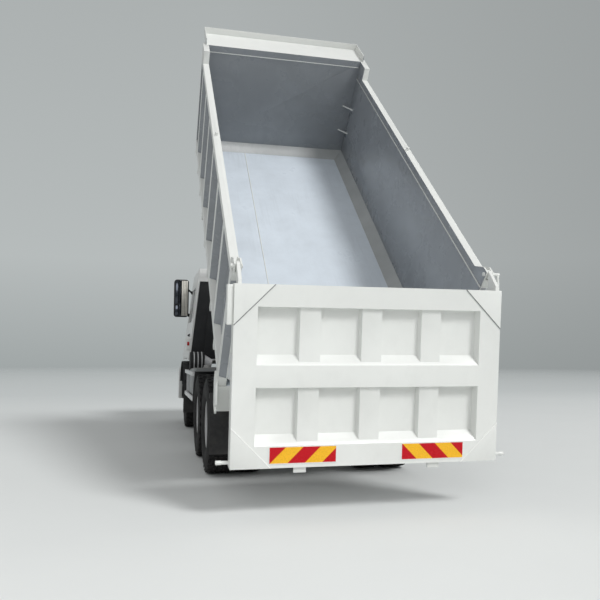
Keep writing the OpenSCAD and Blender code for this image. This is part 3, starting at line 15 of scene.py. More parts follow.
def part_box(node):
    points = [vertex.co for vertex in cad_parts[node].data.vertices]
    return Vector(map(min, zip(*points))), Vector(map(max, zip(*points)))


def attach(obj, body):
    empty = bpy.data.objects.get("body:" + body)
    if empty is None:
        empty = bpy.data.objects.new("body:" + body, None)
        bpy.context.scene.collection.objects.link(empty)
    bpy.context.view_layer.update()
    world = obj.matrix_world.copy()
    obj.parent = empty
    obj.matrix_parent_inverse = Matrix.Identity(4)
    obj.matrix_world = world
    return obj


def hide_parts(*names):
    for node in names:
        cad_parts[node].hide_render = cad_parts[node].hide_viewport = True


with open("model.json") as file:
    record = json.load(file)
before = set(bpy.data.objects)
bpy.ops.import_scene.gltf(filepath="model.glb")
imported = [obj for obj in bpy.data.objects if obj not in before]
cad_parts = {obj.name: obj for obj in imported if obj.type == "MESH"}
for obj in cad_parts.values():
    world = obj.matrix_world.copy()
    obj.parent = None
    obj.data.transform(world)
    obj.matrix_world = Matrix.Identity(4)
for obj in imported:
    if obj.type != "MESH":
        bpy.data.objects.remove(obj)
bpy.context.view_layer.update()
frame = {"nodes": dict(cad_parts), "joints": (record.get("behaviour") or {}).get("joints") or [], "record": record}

LOG = logging.getLogger("dump_truck")
Colour = tuple[float, float, float]
Point = Sequence[float]
Pair = tuple[float, float]
Triple = tuple[float, float, float]
Box = tuple[Triple, Triple]
Socket = bpy.types.NodeSocket
Face = bmesh.types.BMFace

CAB_LEAN = math.radians(6.3)
SHARP_ANGLE = math.radians(32)
# Vertices of a turned shape that lie this close to its axis are joined into one pole
POLE_REACH = 1e-5
SIDES = ("left", "right")
# The bed's inside length, half its inside width and the height where its rails begin
BED_LENGTH = 5.190
BED_WALL = 1.150
RAIL_LOW = 1.330


def joint_row(name: str) -> dict[str, Any]:
    """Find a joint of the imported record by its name."""
    return next(joint for joint in frame["joints"] if joint["name"] == name)


def joint_place(name: str) -> Vector:
    """Give a joint's place in metres."""
    return Vector(joint_row(name)["pos_m"])


def joint_low(name: str) -> float:
    """Give a hinge's low limit in radians."""
    return math.radians(joint_row(name)["range_deg"][0])


# The bed's low limit lays it flat, and the tailgate's low limit shuts it against the bed
TIP_ANGLE = -joint_low("bed_tip")
GATE_LEAN = TIP_ANGLE + joint_low("tailgate_swing")
# Place of the bed's pivot in the bed's own frame
PIVOT_AHEAD = 0.350
PIVOT_BELOW = 0.250
TRUCK = Matrix.Translation((0, joint_place("steer_left").y, 0))
BED = (Matrix.Translation(joint_place("bed_tip")) @ Matrix.Rotation(TIP_ANGLE, 4, "X")
       @ Matrix.Translation((0, -PIVOT_AHEAD, PIVOT_BELOW)))
GATE = Matrix.Translation(joint_place("tailgate_swing")) @ Matrix.Rotation(GATE_LEAN, 4, "X")
MIRRORED = Matrix.Diagonal((-1, 1, 1, 1))


def new_object(name: str, data: bpy.types.ID) -> bpy.types.Object:
    """Make an object in the scene.

    Args:
        name: its name.
        data: its mesh, light or camera.

    Returns:
        The object.
    """
    made = bpy.data.objects.new(name, data)
    bpy.context.scene.collection.objects.link(made)
    return made


class Graph:
    """A node tree with short calls for adding and joining nodes."""

    def __init__(self, tree: bpy.types.NodeTree) -> None:
        """Keep the tree that the calls work on."""
        self.tree = tree

    def add(self, kind: str, inputs: dict[Any, Any] | None = None, **settings: Any) -> bpy.types.Node:
        """Add a node, set its properties and fill or join its inputs.

        Args:
            kind: the node's type.
            inputs: values or output sockets by input name or number.
            **settings: properties of the node itself.

        Returns:
            The new node.
        """
        node = self.tree.nodes.new(kind)
        for name, value in settings.items():
            setattr(node, name, value)
        for key, value in (inputs or {}).items():
            if isinstance(value, Socket):
                self.tree.links.new(value, node.inputs[key])
            else:
                node.inputs[key].default_value = value
        return node

    def mix(self, factor: Any, first: Any, second: Any) -> Socket:
        """Mix two colours.

        Args:
            factor: share of the second, a number or a socket.
            first: a colour or a socket.
            second: a colour or a socket.

        Returns:
            The mixed colour's socket.
        """
        node = self.add("ShaderNodeMix", {0: factor, 6: first, 7: second}, data_type="RGBA")
        return node.outputs[2]

    def maths(self, operation: str, first: Any, second: Any = 0.0) -> Socket:
        """Add a math node and return its output."""
        return self.add("ShaderNodeMath", {0: first, 1: second}, operation=operation).outputs[0]

    def spread(self, value: Any, low: float, high: float, to_low: float, to_high: float) -> Socket:
        """Map a value from one range to another, clamped.

        Args:
            value: the socket to map.
            low: start of its range.
            high: end of its range.
            to_low: result at the start.
            to_high: result at the end.

        Returns:
            The mapped socket.
        """
        node = self.add("ShaderNodeMapRange", {0: value, 1: low, 2: high, 3: to_low, 4: to_high})
        return node.outputs[0]


class MaskGraph(Graph):
    """The inside of an effect's node group, with one method for each effect's mask."""

    def __init__(self, tree: bpy.types.NodeTree) -> None:
        """Take up the group's inputs.

        Args:
            tree: the group's node tree.
        """
        super().__init__(tree)
        source = self.add("NodeGroupInput")
        self.vector = source.outputs["Vector"]
        self.scale = source.outputs["Scale"]

    def noise(self, scale: Any, detail: float, roughness: float = 0.5,
              stretch: Triple | None = None) -> Socket:
        """Make a noise over the group's coordinates.

        Args:
            scale: features per metre, a number or a socket.
            detail: how many finer layers it has.
            roughness: weight of the finer layers.
            stretch: factors on the three axes, where it is drawn out.

        Returns:
            The noise's socket.
        """
        vector = self.vector
        if stretch:
            drawn = self.add("ShaderNodeVectorMath", {0: vector, 1: stretch}, operation="MULTIPLY")
            vector = drawn.outputs[0]
        inputs = {"Vector": vector, "Scale": scale, "Detail": detail, "Roughness": roughness}
        return self.add("ShaderNodeTexNoise", inputs).outputs[0]

    def mottle(self) -> Socket:
        """Make soft cloudy patches."""
        return self.spread(self.noise(self.scale, 6.0, 0.62), 0.32, 0.72, 0.0, 1.0)

    def streaks(self) -> Socket:
        """Make run-off streaks along the coordinates' Z, broken up here and there.

        Returns:
            The mask's socket.
        """
        lines = self.spread(self.noise(self.scale, 4.0, 0.55, (1.0, 1.0, 0.06)), 0.52, 0.74, 0.0, 1.0)
        breaks = self.spread(self.noise(1.7, 2.0), 0.35, 0.7, 0.0, 1.0)
        return self.maths("MULTIPLY", lines, breaks)

    def grain(self) -> Socket:
        """Make a fine pebbled height.

        Returns:
            The height's socket.
        """
        cells = self.add("ShaderNodeTexVoronoi", {"Vector": self.vector, "Scale": self.scale})
        pebbles = self.maths("MULTIPLY", cells.outputs["Distance"], 0.5)
        return self.maths("ADD", self.noise(self.scale, 3.0), pebbles)

    def dust(self) -> Socket:
        """Make road dust that thins out with height above the floor.

        Returns:
            The mask's socket.
        """
        height = self.add("ShaderNodeSeparateXYZ", {0: self.vector}).outputs["Z"]
        fade = self.spread(height, 0.1, 1.5, 1.0, 0.0)
        patches = self.spread(self.noise(self.scale, 7.0, 0.65), 0.3, 0.7, 0.1, 1.0)
        return self.maths("MULTIPLY", fade, patches)

    def scuffs(self) -> Socket:
        """Make scrapes along the coordinates' Y, gathered in patches.

        Returns:
            The mask's socket.
        """
        marks = self.spread(self.noise(self.scale, 5.0, 0.7, (1.0, 0.05, 1.0)), 0.48, 0.85, 0.0, 1.0)
        patches = self.spread(self.noise(0.9, 3.0), 0.42, 0.68, 0.0, 1.0)
        return self.maths("MULTIPLY", marks, patches)


class Effect(Enum):
    """Surface effects that several finishes share, each built once as a node group."""

    MOTTLE = "mottle"
    STREAKS = "streaks"
    GRAIN = "grain"
    DUST = "dust"
    SCUFFS = "scuffs"

    def group(self) -> bpy.types.NodeTree:
        """Build the effect's group, or find it if it is built already.

        Returns:
            The node group.
        """
        found = bpy.data.node_groups.get(self.value)
        if found:
            return found
        tree = bpy.data.node_groups.new(self.value, "ShaderNodeTree")
        tree.interface.new_socket("Vector", in_out="INPUT", socket_type="NodeSocketVector")
        tree.interface.new_socket("Scale", in_out="INPUT", socket_type="NodeSocketFloat")
        tree.interface.new_socket("Mask", in_out="OUTPUT", socket_type="NodeSocketFloat")
        graph = MaskGraph(tree)
        makers = {Effect.MOTTLE: graph.mottle, Effect.STREAKS: graph.streaks, Effect.GRAIN: graph.grain,
                  Effect.DUST: graph.dust, Effect.SCUFFS: graph.scuffs}
        graph.add("NodeGroupOutput", {"Mask": makers[self]()})
        return tree


class Surface(Graph):
    """A material's graph with a Principled shader, object coordinates and the shared effects."""

    def __init__(self, name: str, turn: float = 0.0, **shader: Any) -> None:
        """Start a material.

        Args:
            name: the material's name.
            turn: how far the pattern turns about X, in radians.
            **shader: plain values of the Principled shader, with underscores for spaces.
        """
        self.material = bpy.data.materials.new(name)
        self.material.use_nodes = True
        super().__init__(self.material.node_tree)
        self.tree.nodes.clear()
        self.shader = self.add("ShaderNodeBsdfPrincipled")
        self.output = self.add("ShaderNodeOutputMaterial", {"Surface": self.shader.outputs[0]})
        for key, value in shader.items():
            self.shader.inputs[key.replace("_", " ")].default_value = value
        self.place = self.add("ShaderNodeTexCoord").outputs["Object"]
        self.vector = self.place
        if turn:
            turned = self.add("ShaderNodeMapping", {"Vector": self.place, "Rotation": (-turn, 0, 0)})
            self.vector = turned.outputs[0]

    def effect(self, effect: Effect, scale: float, weight: float = 1.0, upright: bool = False) -> Socket:
        """Place a shared effect.

        Args:
            effect: which effect.
            scale: its scale.
            weight: what its mask is multiplied by.
            upright: whether it reads the unturned coordinates.

        Returns:
            The effect's mask.
        """
        node = self.add("ShaderNodeGroup", node_tree=effect.group())
        self.tree.links.new(self.place if upright else self.vector, node.inputs["Vector"])
        node.inputs["Scale"].default_value = scale
        mask = node.outputs["Mask"]
        return mask if weight == 1.0 else self.maths("MULTIPLY", mask, weight)

    def between(self, mask: Socket, start: float, end: float) -> Socket:
        """Map a mask from 0 to 1 onto another range."""
        return self.spread(mask, 0.0, 1.0, start, end)

    def feed(self, name: str, socket: Socket) -> None:
        """Join a socket to one of the shader's inputs."""
        self.tree.links.new(socket, self.shader.inputs[name])

    def bump(self, height: Socket, strength: float, distance: float) -> None:
        """Raise the surface by a height.

        Args:
            height: the height's socket.
            strength: share of the height that counts.
            distance: full height in metres.
        """
        node = self.add("ShaderNodeBump", {"Height": height, "Strength": strength, "Distance": distance})
        self.feed("Normal", node.outputs[0])


def solid(colour: Colour) -> tuple[float, float, float, float]:
    """Give a colour its opaque fourth value."""
    return (*colour, 1.0)


def shade(colour: Colour, factor: float) -> tuple[float, float, float, float]:
    """Darken or lighten a colour."""
    return solid((colour[0] * factor, colour[1] * factor, colour[2] * factor))


DUST_ON_PAINT = (0.36, 0.33, 0.29)
DUST_ON_METAL = (0.3, 0.28, 0.25)
DUST_ON_PLASTIC = (0.24, 0.22, 0.2)


@dataclass(frozen=True)
class Paint:
    """Sprayed paint with faint patches, run-off streaks, scrapes and road dust."""

    name: str
    colour: Colour
    roughness: float = 0.32
    coat: float = 0.25
    dirt: float = 0.12
    dust: float = 0.25
    scuffs: float = 0.0
    turn: float = 0.0
    patchy: float = 0.045

    def build(self) -> bpy.types.Material:
        """Make the material.

        Returns:
            The material.
        """
        surface = Surface(self.name, self.turn, Coat_Weight=self.coat, Coat_Roughness=0.12)
        patches = surface.effect(Effect.MOTTLE, 2.2)
        colour = surface.mix(patches, shade(self.colour, 1 - self.patchy), solid(self.colour))
        streaks = surface.effect(Effect.STREAKS, 9.0, self.dirt)
        colour = surface.mix(streaks, colour, shade(self.colour, 0.55))
        roughness = surface.between(patches, self.roughness + 0.06, self.roughness - 0.04)
        if self.scuffs:
            marks = surface.effect(Effect.SCUFFS, 26.0, self.scuffs)
            colour = surface.mix(marks, colour, shade(self.colour, 0.6))
            roughness = surface.maths("ADD", roughness, surface.maths("MULTIPLY", marks, 0.2))
        dust = surface.effect(Effect.DUST, 5.0, self.dust, upright=True)
        surface.feed("Base Color", surface.mix(dust, colour, solid(DUST_ON_PAINT)))
        surface.feed("Roughness", surface.maths("ADD", roughness, surface.maths("MULTIPLY", dust, 0.4)))
        surface.bump(surface.effect(Effect.GRAIN, 420.0), 0.05, 0.0006)
        return surface.material


@dataclass(frozen=True)
class Metal:
    """Bare or plated metal with fine lines and patches."""

    name: str
    colour: Colour
    roughness: float = 0.3
    lines: float = 60.0
    dust: float = 0.2

    def build(self) -> bpy.types.Material:
        """Make the material.

        Returns:
            The material.
        """
        surface = Surface(self.name, Metallic=1.0)
        patches = surface.effect(Effect.MOTTLE, 6.0)
        colour = surface.mix(patches, shade(self.colour, 0.86), solid(self.colour))
        lines = surface.effect(Effect.SCUFFS, self.lines, 0.3)
        colour = surface.mix(lines, colour, shade(self.colour, 0.7))
        dust = surface.effect(Effect.DUST, 7.0, self.dust, upright=True)
        surface.feed("Base Color", surface.mix(dust, colour, solid(DUST_ON_METAL)))
        roughness = surface.between(patches, self.roughness + 0.08, self.roughness - 0.03)
        surface.feed("Roughness", surface.maths("ADD", roughness, surface.maths("MULTIPLY", dust, 0.5)))
        surface.bump(surface.effect(Effect.GRAIN, 260.0), 0.08, 0.0008)
        return surface.material


@dataclass(frozen=True)
class Plastic:
    """Moulded plastic or rubber with a pebbled grain."""

    name: str
    colour: Colour
    roughness: float = 0.55
    grain: float = 340.0
    depth: float = 0.0012
    dust: float = 0.2
    gloss: float = 0.25

    def build(self) -> bpy.types.Material:
        """Make the material.

        Returns:
            The material.
        """
        surface = Surface(self.name, Specular_IOR_Level=self.gloss)
        patches = surface.effect(Effect.MOTTLE, 4.0)
        colour = surface.mix(patches, shade(self.colour, 0.8), shade(self.colour, 1.15))
        dust = surface.effect(Effect.DUST, 9.0, self.dust, upright=True)
        surface.feed("Base Color", surface.mix(dust, colour, solid(DUST_ON_PLASTIC)))
        surface.feed("Roughness", surface.between(patches, self.roughness + 0.1, self.roughness - 0.05))
        surface.bump(surface.effect(Effect.GRAIN, self.grain), 0.25, self.depth)
        return surface.material


@dataclass(frozen=True)
class Glass:
    """Tinted pane with faint wiped patches."""

    name: str
    colour: Colour
    roughness: float = 0.03

    def build(self) -> bpy.types.Material:
        """Make the material.

        Returns:
            The material.
        """
        surface = Surface(self.name, Transmission_Weight=1.0, IOR=1.45)
        patches = surface.effect(Effect.MOTTLE, 3.0)
        surface.feed("Base Color", surface.mix(patches, shade(self.colour, 0.92), solid(self.colour)))
        surface.feed("Roughness", surface.between(patches, self.roughness + 0.05, self.roughness))
        return surface.material


@dataclass(frozen=True)
class Lens:
    """Coloured lamp lens or reflector sheet with fine prisms."""

    name: str
    colour: Colour
    prisms: float = 90.0

    def build(self) -> bpy.types.Material:
        """Make the material.

        Returns:
            The material.
        """
        surface = Surface(self.name, Coat_Weight=0.1, Coat_Roughness=0.08, Specular_IOR_Level=0.2)
        cells = surface.add("ShaderNodeTexVoronoi", {"Vector": surface.vector, "Scale": self.prisms})
        prisms = cells.outputs["Distance"]
        surface.feed("Base Color", surface.mix(prisms, solid(self.colour), shade(self.colour, 0.8)))
        surface.feed("Roughness", surface.between(surface.effect(Effect.MOTTLE, 8.0), 0.3, 0.2))
        surface.bump(prisms, 0.25, 0.001)
        return surface.material


@dataclass(frozen=True)
class Cloth:
    """Woven seat cloth."""

    name: str
    colour: Colour
    threads: float = 620.0

    def build(self) -> bpy.types.Material:
        """Make the material.

        Returns:
            The material.
        """
        surface = Surface(self.name, Sheen_Weight=0.35)
        inputs = {"Vector": surface.vector, "Scale": self.threads / math.tau}
        warp = surface.add("ShaderNodeTexWave", inputs, bands_direction="X")
        weft = surface.add("ShaderNodeTexWave", inputs, bands_direction="DIAGONAL")
        weave = surface.maths("MULTIPLY", warp.outputs["Fac"], weft.outputs["Fac"])
        colour = surface.mix(weave, shade(self.colour, 0.65), shade(self.colour, 1.3))
        worn = surface.effect(Effect.MOTTLE, 7.0, 0.3)
        surface.feed("Base Color", surface.mix(worn, colour, shade(self.colour, 1.6)))
        surface.feed("Roughness", surface.between(weave, 0.95, 0.8))
        surface.bump(weave, 0.4, 0.001)
        return surface.material


Finish = Paint | Metal | Plastic | Glass | Lens | Cloth
SLOT_FINISHES: tuple[Finish, ...] = (
    Paint("chassis_paint", (0.045, 0.048, 0.052), roughness=0.45, coat=0.0, dirt=0.2, dust=0.35),
    Paint("spring_steel", (0.035, 0.035, 0.038), roughness=0.55, coat=0.0, dirt=0.2, dust=0.4),
    Metal("engine_iron", (0.2, 0.21, 0.22), roughness=0.55, dust=0.5),
    Metal("tank_aluminium", (0.34, 0.35, 0.36), roughness=0.4),
    Plastic("dark_plastic", (0.022, 0.023, 0.025)),
    Metal("exhaust_steel", (0.42, 0.41, 0.4), roughness=0.45),
    Paint("cab_paint", (0.78, 0.79, 0.78)),
    Glass("lamp_lens", (0.93, 0.95, 0.96), roughness=0.05),
    Paint("guard_paint", (0.68, 0.69, 0.7)),
    Lens("red_lens", (0.5, 0.012, 0.015)),
    Glass("tinted_glass", (0.34, 0.4, 0.42)),
    Cloth("seat_fabric", (0.07, 0.072, 0.08)),
    Paint("floor_paint", (0.69, 0.755, 0.82), roughness=0.3, coat=0.15, dust=0.0, scuffs=0.5,
          turn=TIP_ANGLE, patchy=0.12),
    Paint("bed_paint", (0.77, 0.785, 0.76), roughness=0.34, coat=0.2, dirt=0.1, dust=0.12, turn=TIP_ANGLE),
    Lens("reflector_board", (0.86, 0.86, 0.84)),
    Paint("hoist_paint", (0.4, 0.41, 0.43), roughness=0.4, coat=0.1),
    Metal("hoist_chrome", (0.8, 0.81, 0.82), roughness=0.12, dust=0.0),
    Paint("rim_paint", (0.66, 0.67, 0.68), roughness=0.35, coat=0.1, dirt=0.15, dust=0.35),
    Plastic("tyre_rubber", (0.012, 0.012, 0.013), roughness=0.72, grain=260.0, depth=0.0014, dust=0.1),
)
EXTRA_FINISHES: tuple[Finish, ...] = (
    Lens("stripe_red", (0.57, 0.003, 0.012)),
    Lens("stripe_yellow", (0.97, 0.52, 0.025)),
    Lens("amber_lens", (0.85, 0.26, 0.02)),
    Metal("mirror_face", (0.06, 0.066, 0.078), roughness=0.08, dust=0.0),
    Plastic("mirror_trim", (0.68, 0.66, 0.6), roughness=0.5, grain=500.0, depth=0.0006, dust=0.0),
    Plastic("seam_sealer", (0.22, 0.23, 0.23), roughness=0.6, grain=500.0, depth=0.0006, dust=0.0),
    # The lining is partly the bed plates' own grey and partly painted shade: darker inside the bed, and laid
    # between the walls' outer ribs as painted shade of the recesses. Its streaks and scuffs are dirt and wear.
    Paint("lining_with_painted_shade", (0.285, 0.305, 0.328), roughness=0.26, coat=0.3, dirt=0.16, dust=0.0, scuffs=0.2,
          turn=TIP_ANGLE, patchy=0.14),
    Paint("weld_white", (0.92, 0.92, 0.9), roughness=0.3, coat=0.2, dirt=0.0, dust=0.0),
    # The slopes' grey is painted shade. Their streaks and scuffs are dirt and wear.
    Paint("slope_with_painted_shade", (0.44, 0.46, 0.46), roughness=0.3, coat=0.2, dirt=0.25, dust=0.0, scuffs=0.4,
          turn=TIP_ANGLE, patchy=0.2),
)


class Wardrobe:
    """All the finishes of the truck, each made once."""

    def __init__(self) -> None:
        """Make every material."""
        self.materials = {finish.name: finish.build() for finish in SLOT_FINISHES + EXTRA_FINISHES}

    def pick(self, *names: str) -> list[bpy.types.Material]:
        """Give the materials of some finishes, in order."""
        return [self.materials[name] for name in names]

    def dress_nodes(self) -> None:
        """Give every CAD node the finish of its slot."""
        for row in frame["record"]["subparts"]:
            mesh = frame["nodes"][row["node"]].data
            mesh.materials.clear()
            mesh.materials.append(self.materials[row["material_slot"]])


class Shape:
    """A mesh under construction, in metres, with the operators that the pieces share."""

    def __init__(self) -> None:
        """Start an empty mesh."""
        self.mesh = bmesh.new()

    def soften(self, verts: Iterable[bmesh.types.BMVert], width: float, segments: int = 2) -> None:
        """Round the edges between some vertices.

        Args:
            verts: the vertices whose edges are rounded.
            width: how far the rounding reaches.
            segments: faces across it.
        """
        edges = list(dict.fromkeys(edge for vert in verts for edge in vert.link_edges))
        bmesh.ops.bevel(self.mesh, geom=edges, offset=width, offset_type="OFFSET", segments=segments,
                        profile=0.5, affect="EDGES", material=-1, clamp_overlap=True)

    def block(self, low: Point, high: Point, round_by: float = 0.0, segments: int = 2,
              place: Matrix | None = None) -> None:
        """Add a block with rounded edges.

        Args:
            low: lowest corner.
            high: highest corner.
            round_by: how far the edges' rounding reaches.
            segments: faces across the rounding.
            place: where the block's own frame lies.
        """
        low, high = Vector(low), Vector(high)
        fit = Matrix.Translation((low + high) / 2) @ Matrix.Diagonal((*(high - low), 1))
        made = bmesh.ops.create_cube(self.mesh, size=1.0, matrix=(place or Matrix()) @ fit)
        if round_by:
            self.soften(made["verts"], round_by, segments)

    def rod(self, start: Point, end: Point, radius: float, sides: int = 20, round_by: float = 0.0,
            end_radius: float | None = None) -> None:
        """Add a round or many-sided bar between two points.

        Args:
            start: middle of one end.
            end: middle of the other end.
            radius: its radius.
            sides: faces round it.
            round_by: how far its edges' rounding reaches.
            end_radius: its radius at the end, if it tapers.
        """
        start, end = Vector(start), Vector(end)
        along = end - start
        turn = along.to_track_quat("Z", "Y").to_matrix().to_4x4()
        made = bmesh.ops.create_cone(self.mesh, cap_ends=True, segments=sides, radius1=radius,
                                     radius2=radius if end_radius is None else end_radius,
                                     depth=along.length, matrix=Matrix.Translation((start + end) / 2) @ turn)
        if round_by:
            ends = [edge for vert in made["verts"] for edge in vert.link_edges
                    if any(len(face.verts) == sides for face in edge.link_faces)]
            bmesh.ops.bevel(self.mesh, geom=list(dict.fromkeys(ends)), offset=round_by, offset_type="OFFSET",
                            segments=2, profile=0.5, affect="EDGES", material=-1, clamp_overlap=True)

    def turned(self, outline: Sequence[Pair], centre: Point, steps: int) -> list[Face]:
        """Turn an outline once round the X axis through a centre.

        Args:
            outline: points as distance along X and radius.
            centre: a point on the axis.
            steps: faces round the turn.

        Returns:
            The new faces.
        """
        before = set(self.mesh.faces)
        centre = Vector(centre)
        verts = [self.mesh.verts.new(centre + Vector((x, 0, radius))) for x, radius in outline]
        edges = [self.mesh.edges.new(pair) for pair in zip(verts, verts[1:])]
        bmesh.ops.spin(self.mesh, geom=verts + edges, cent=centre, axis=(1, 0, 0), angle=math.tau,
                       steps=steps, use_merge=True)
        faces = [face for face in self.mesh.faces if face not in before]
        corners = dict.fromkeys(vert for face in faces for vert in face.verts)
        poles = [vert for vert in corners if (vert.co - centre).yz.length < POLE_REACH]
        bmesh.ops.remove_doubles(self.mesh, verts=poles, dist=POLE_REACH)
        faces = [face for face in self.mesh.faces if face not in before]
        bmesh.ops.recalc_face_normals(self.mesh, faces=faces)
        return faces

    def outline_frame(self, corners: Sequence[Point], width: float, thickness: float) -> None:
        """Add a flat frame that follows an outline.

        Args:
            corners: the outline's corners in order.
            width: how wide the frame is, inwards.
            thickness: how thick it is.
        """
        face = self.mesh.faces.new([self.mesh.verts.new(Vector(corner)) for corner in corners])
        bmesh.ops.inset_region(self.mesh, faces=[face], thickness=width, use_even_offset=True)
        beside = dict.fromkeys(near for edge in face.edges for near in edge.link_faces)
        ring = [near for near in beside if near != face]
        bmesh.ops.delete(self.mesh, geom=[face], context="FACES_ONLY")
        bmesh.ops.solidify(self.mesh, geom=ring, thickness=thickness)
        bmesh.ops.recalc_face_normals(self.mesh, faces=self.mesh.faces)

    def mirrored(self) -> None:
        """Add the same again on the other side of the truck's middle."""
        whole = self.mesh.verts[:] + self.mesh.edges[:] + self.mesh.faces[:]
        made = bmesh.ops.duplicate(self.mesh, geom=whole)
        verts = [part for part in made["geom"] if isinstance(part, bmesh.types.BMVert)]
        faces = [part for part in made["geom"] if isinstance(part, Face)]
        bmesh.ops.transform(self.mesh, matrix=MIRRORED, verts=verts)
        bmesh.ops.reverse_faces(self.mesh, faces=faces)

    def flipped(self) -> None:
        """Turn the whole shape to the other side of the truck's middle."""
        bmesh.ops.transform(self.mesh, matrix=MIRRORED, verts=self.mesh.verts)
        bmesh.ops.reverse_faces(self.mesh, faces=self.mesh.faces)

    def colour_since(self, before: set[Face], index: int) -> None:
        """Give the faces that are not in an earlier set one of the piece's materials."""
        for face in set(self.mesh.faces) - before:
            face.material_index = index

    def piece(self, name: str, body: str, slot: str, materials: Sequence[bpy.types.Material],
              place: Matrix = TRUCK, stands_for: Sequence[str] = ()) -> bpy.types.Object:
        """Finish the mesh as a piece that moves with a body.

        Args:
            name: the piece's name.
            body: the CAD body that carries it.
            slot: the record's slot of its finish; not used.
            materials: its materials.
            place: where the shape's own frame lies.
            stands_for: CAD nodes that it replaces.

        Returns:
            The piece's object.
        """
        bmesh.ops.transform(self.mesh, matrix=place, verts=self.mesh.verts)
        data = bpy.data.meshes.new(name)
        self.mesh.to_mesh(data)
        self.mesh.free()
        for material in materials:
            data.materials.append(material)
        data.shade_smooth()
        data.set_sharp_from_angle(angle=SHARP_ANGLE)
        piece = new_object(name, data)
        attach(piece, body)
        if stands_for:
            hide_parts(*stands_for)
        LOG.info("piece %s on %s, %d faces", name, body, len(data.polygons))
        return piece


def softened_node(node: str, width: float) -> Shape:
    """Copy a CAD node's mesh and round its sharp edges.

    Args:
        node: the node's name.
        width: how far the rounding reaches.

    Returns:
        The rounded shape, in the truck's own place.
    """
    shape = Shape()
    mesh = shape.mesh
    mesh.from_mesh(frame["nodes"][node].data)
    bmesh.ops.remove_doubles(mesh, verts=mesh.verts, dist=2e-5)
    bmesh.ops.dissolve_limit(mesh, angle_limit=math.radians(1), verts=mesh.verts, edges=mesh.edges)
    sharp = [edge for edge in mesh.edges
             if len(edge.link_faces) == 2 and edge.calc_face_angle() > math.radians(25)]
    bmesh.ops.bevel(mesh, geom=sharp, offset=width, offset_type="OFFSET", segments=2, profile=0.5,
                    affect="EDGES", material=-1, clamp_overlap=True)
    mesh.normal_update()
    return shape


def seen_from_bed(face: Face) -> tuple[Vector, Vector]:
    """Look at a face from the bed's own frame.

    Args:
        face: a face in the truck's own place.

    Returns:
        Its middle and its normal.
    """
    to_bed = BED.inverted()
    return to_bed @ face.calc_center_median(), to_bed.to_3x3() @ face.normal


@dataclass(frozen=True)
class Panel:
    """A CAD node that is shown by a copy with rounded edges."""

    body: str
    node: str
    width: float
    finishes: tuple[str, ...]
    chosen: Callable[[Face], int] | None = None


@dataclass
class RoundedPanels:
    """Pressed and folded panels, whose CAD edges get a small radius."""

    wardrobe: Wardrobe
    outside: float = 1.230
    skirt: float = 0.110
    near: float = 0.003
    facing: float = 0.9
    wall_skin: float = 0.005
    rib_skin: float = 0.0015
    end_margin: float = 0.01
    floor_skin: float = 0.0005
    steep: float = 0.3
    level: float = 0.95

    def build(self) -> None:
        """Replace the panels by copies with rounded edges."""
        paint_and_shaded_lining = ("bed_paint", "lining_with_painted_shade")
        panels = [Panel("tailgate", "tailgate", 0.0025, ("bed_paint",)),
                  Panel("bed", "bed_left_side", 0.003, paint_and_shaded_lining, self.pick_shaded_lining),
                  Panel("bed", "bed_right_side", 0.003, paint_and_shaded_lining, self.pick_shaded_lining),
                  Panel("bed", "bed_headboard", 0.003, paint_and_shaded_lining, self.pick_shaded_lining),
                  Panel("bed", "bed_floor", 0.002, ("floor_paint", "slope_with_painted_shade", "bed_paint"), self.on_floor),
                  Panel("cab", "cab_roof", 0.02, ("cab_paint",)),
                  Panel("chassis", "front_bumper", 0.012, ("cab_paint",)),
                  Panel("chassis", "rear_mudguards", 0.002, ("dark_plastic",))]
        for panel in panels:
            shape = softened_node(panel.node, panel.width)
            if panel.chosen:
                for face in shape.mesh.faces:
                    face.material_index = panel.chosen(face)
            materials = self.wardrobe.pick(*panel.finishes)
            name = f"{panel.node}_panel"
            shape.piece(name, panel.body, panel.finishes[0], materials, Matrix(), [panel.node])

    def pick_shaded_lining(self, face: Face) -> int:
        """Choose the lining: inside the bed it is partly the plates' own grey and partly painted shade, and
        between the walls' outer ribs it is painted shade of the recesses.

        Args:
            face: a face of a wall or the headboard.

        Returns:
            1 for the lining with its painted shade, 0 for the bed's paint.
        """
        spot, normal = seen_from_bed(face)
        inward = -normal.x * math.copysign(1, spot.x)
        beside = abs(abs(spot.x) - BED_WALL) < self.near and inward > self.facing
        ahead = abs(spot.y - BED_LENGTH) < self.near and -normal.y > self.facing
        # Faces deep between the walls' outer ribs take the lining as painted shade of the recesses.
        deep = BED_WALL + self.wall_skin < abs(spot.x) < self.outside - self.rib_skin
        along = self.end_margin < spot.y < BED_LENGTH - self.end_margin
        between = deep and along and self.skirt < spot.z < RAIL_LOW
        return int(beside or ahead or between)

    def on_floor(self, face: Face) -> int:
        """Choose between the floor itself, its slopes along the walls, whose grey is painted shade, and what lies
        below it.

        Args:
            face: a face of the bed's floor.

        Returns:
            0 for the floor, 1 for its slopes with their painted shade, 2 for what lies below.
        """
        spot, normal = seen_from_bed(face)
        if spot.z < -self.floor_skin or normal.z < self.steep:
            return 2
        return int(normal.z < self.level)


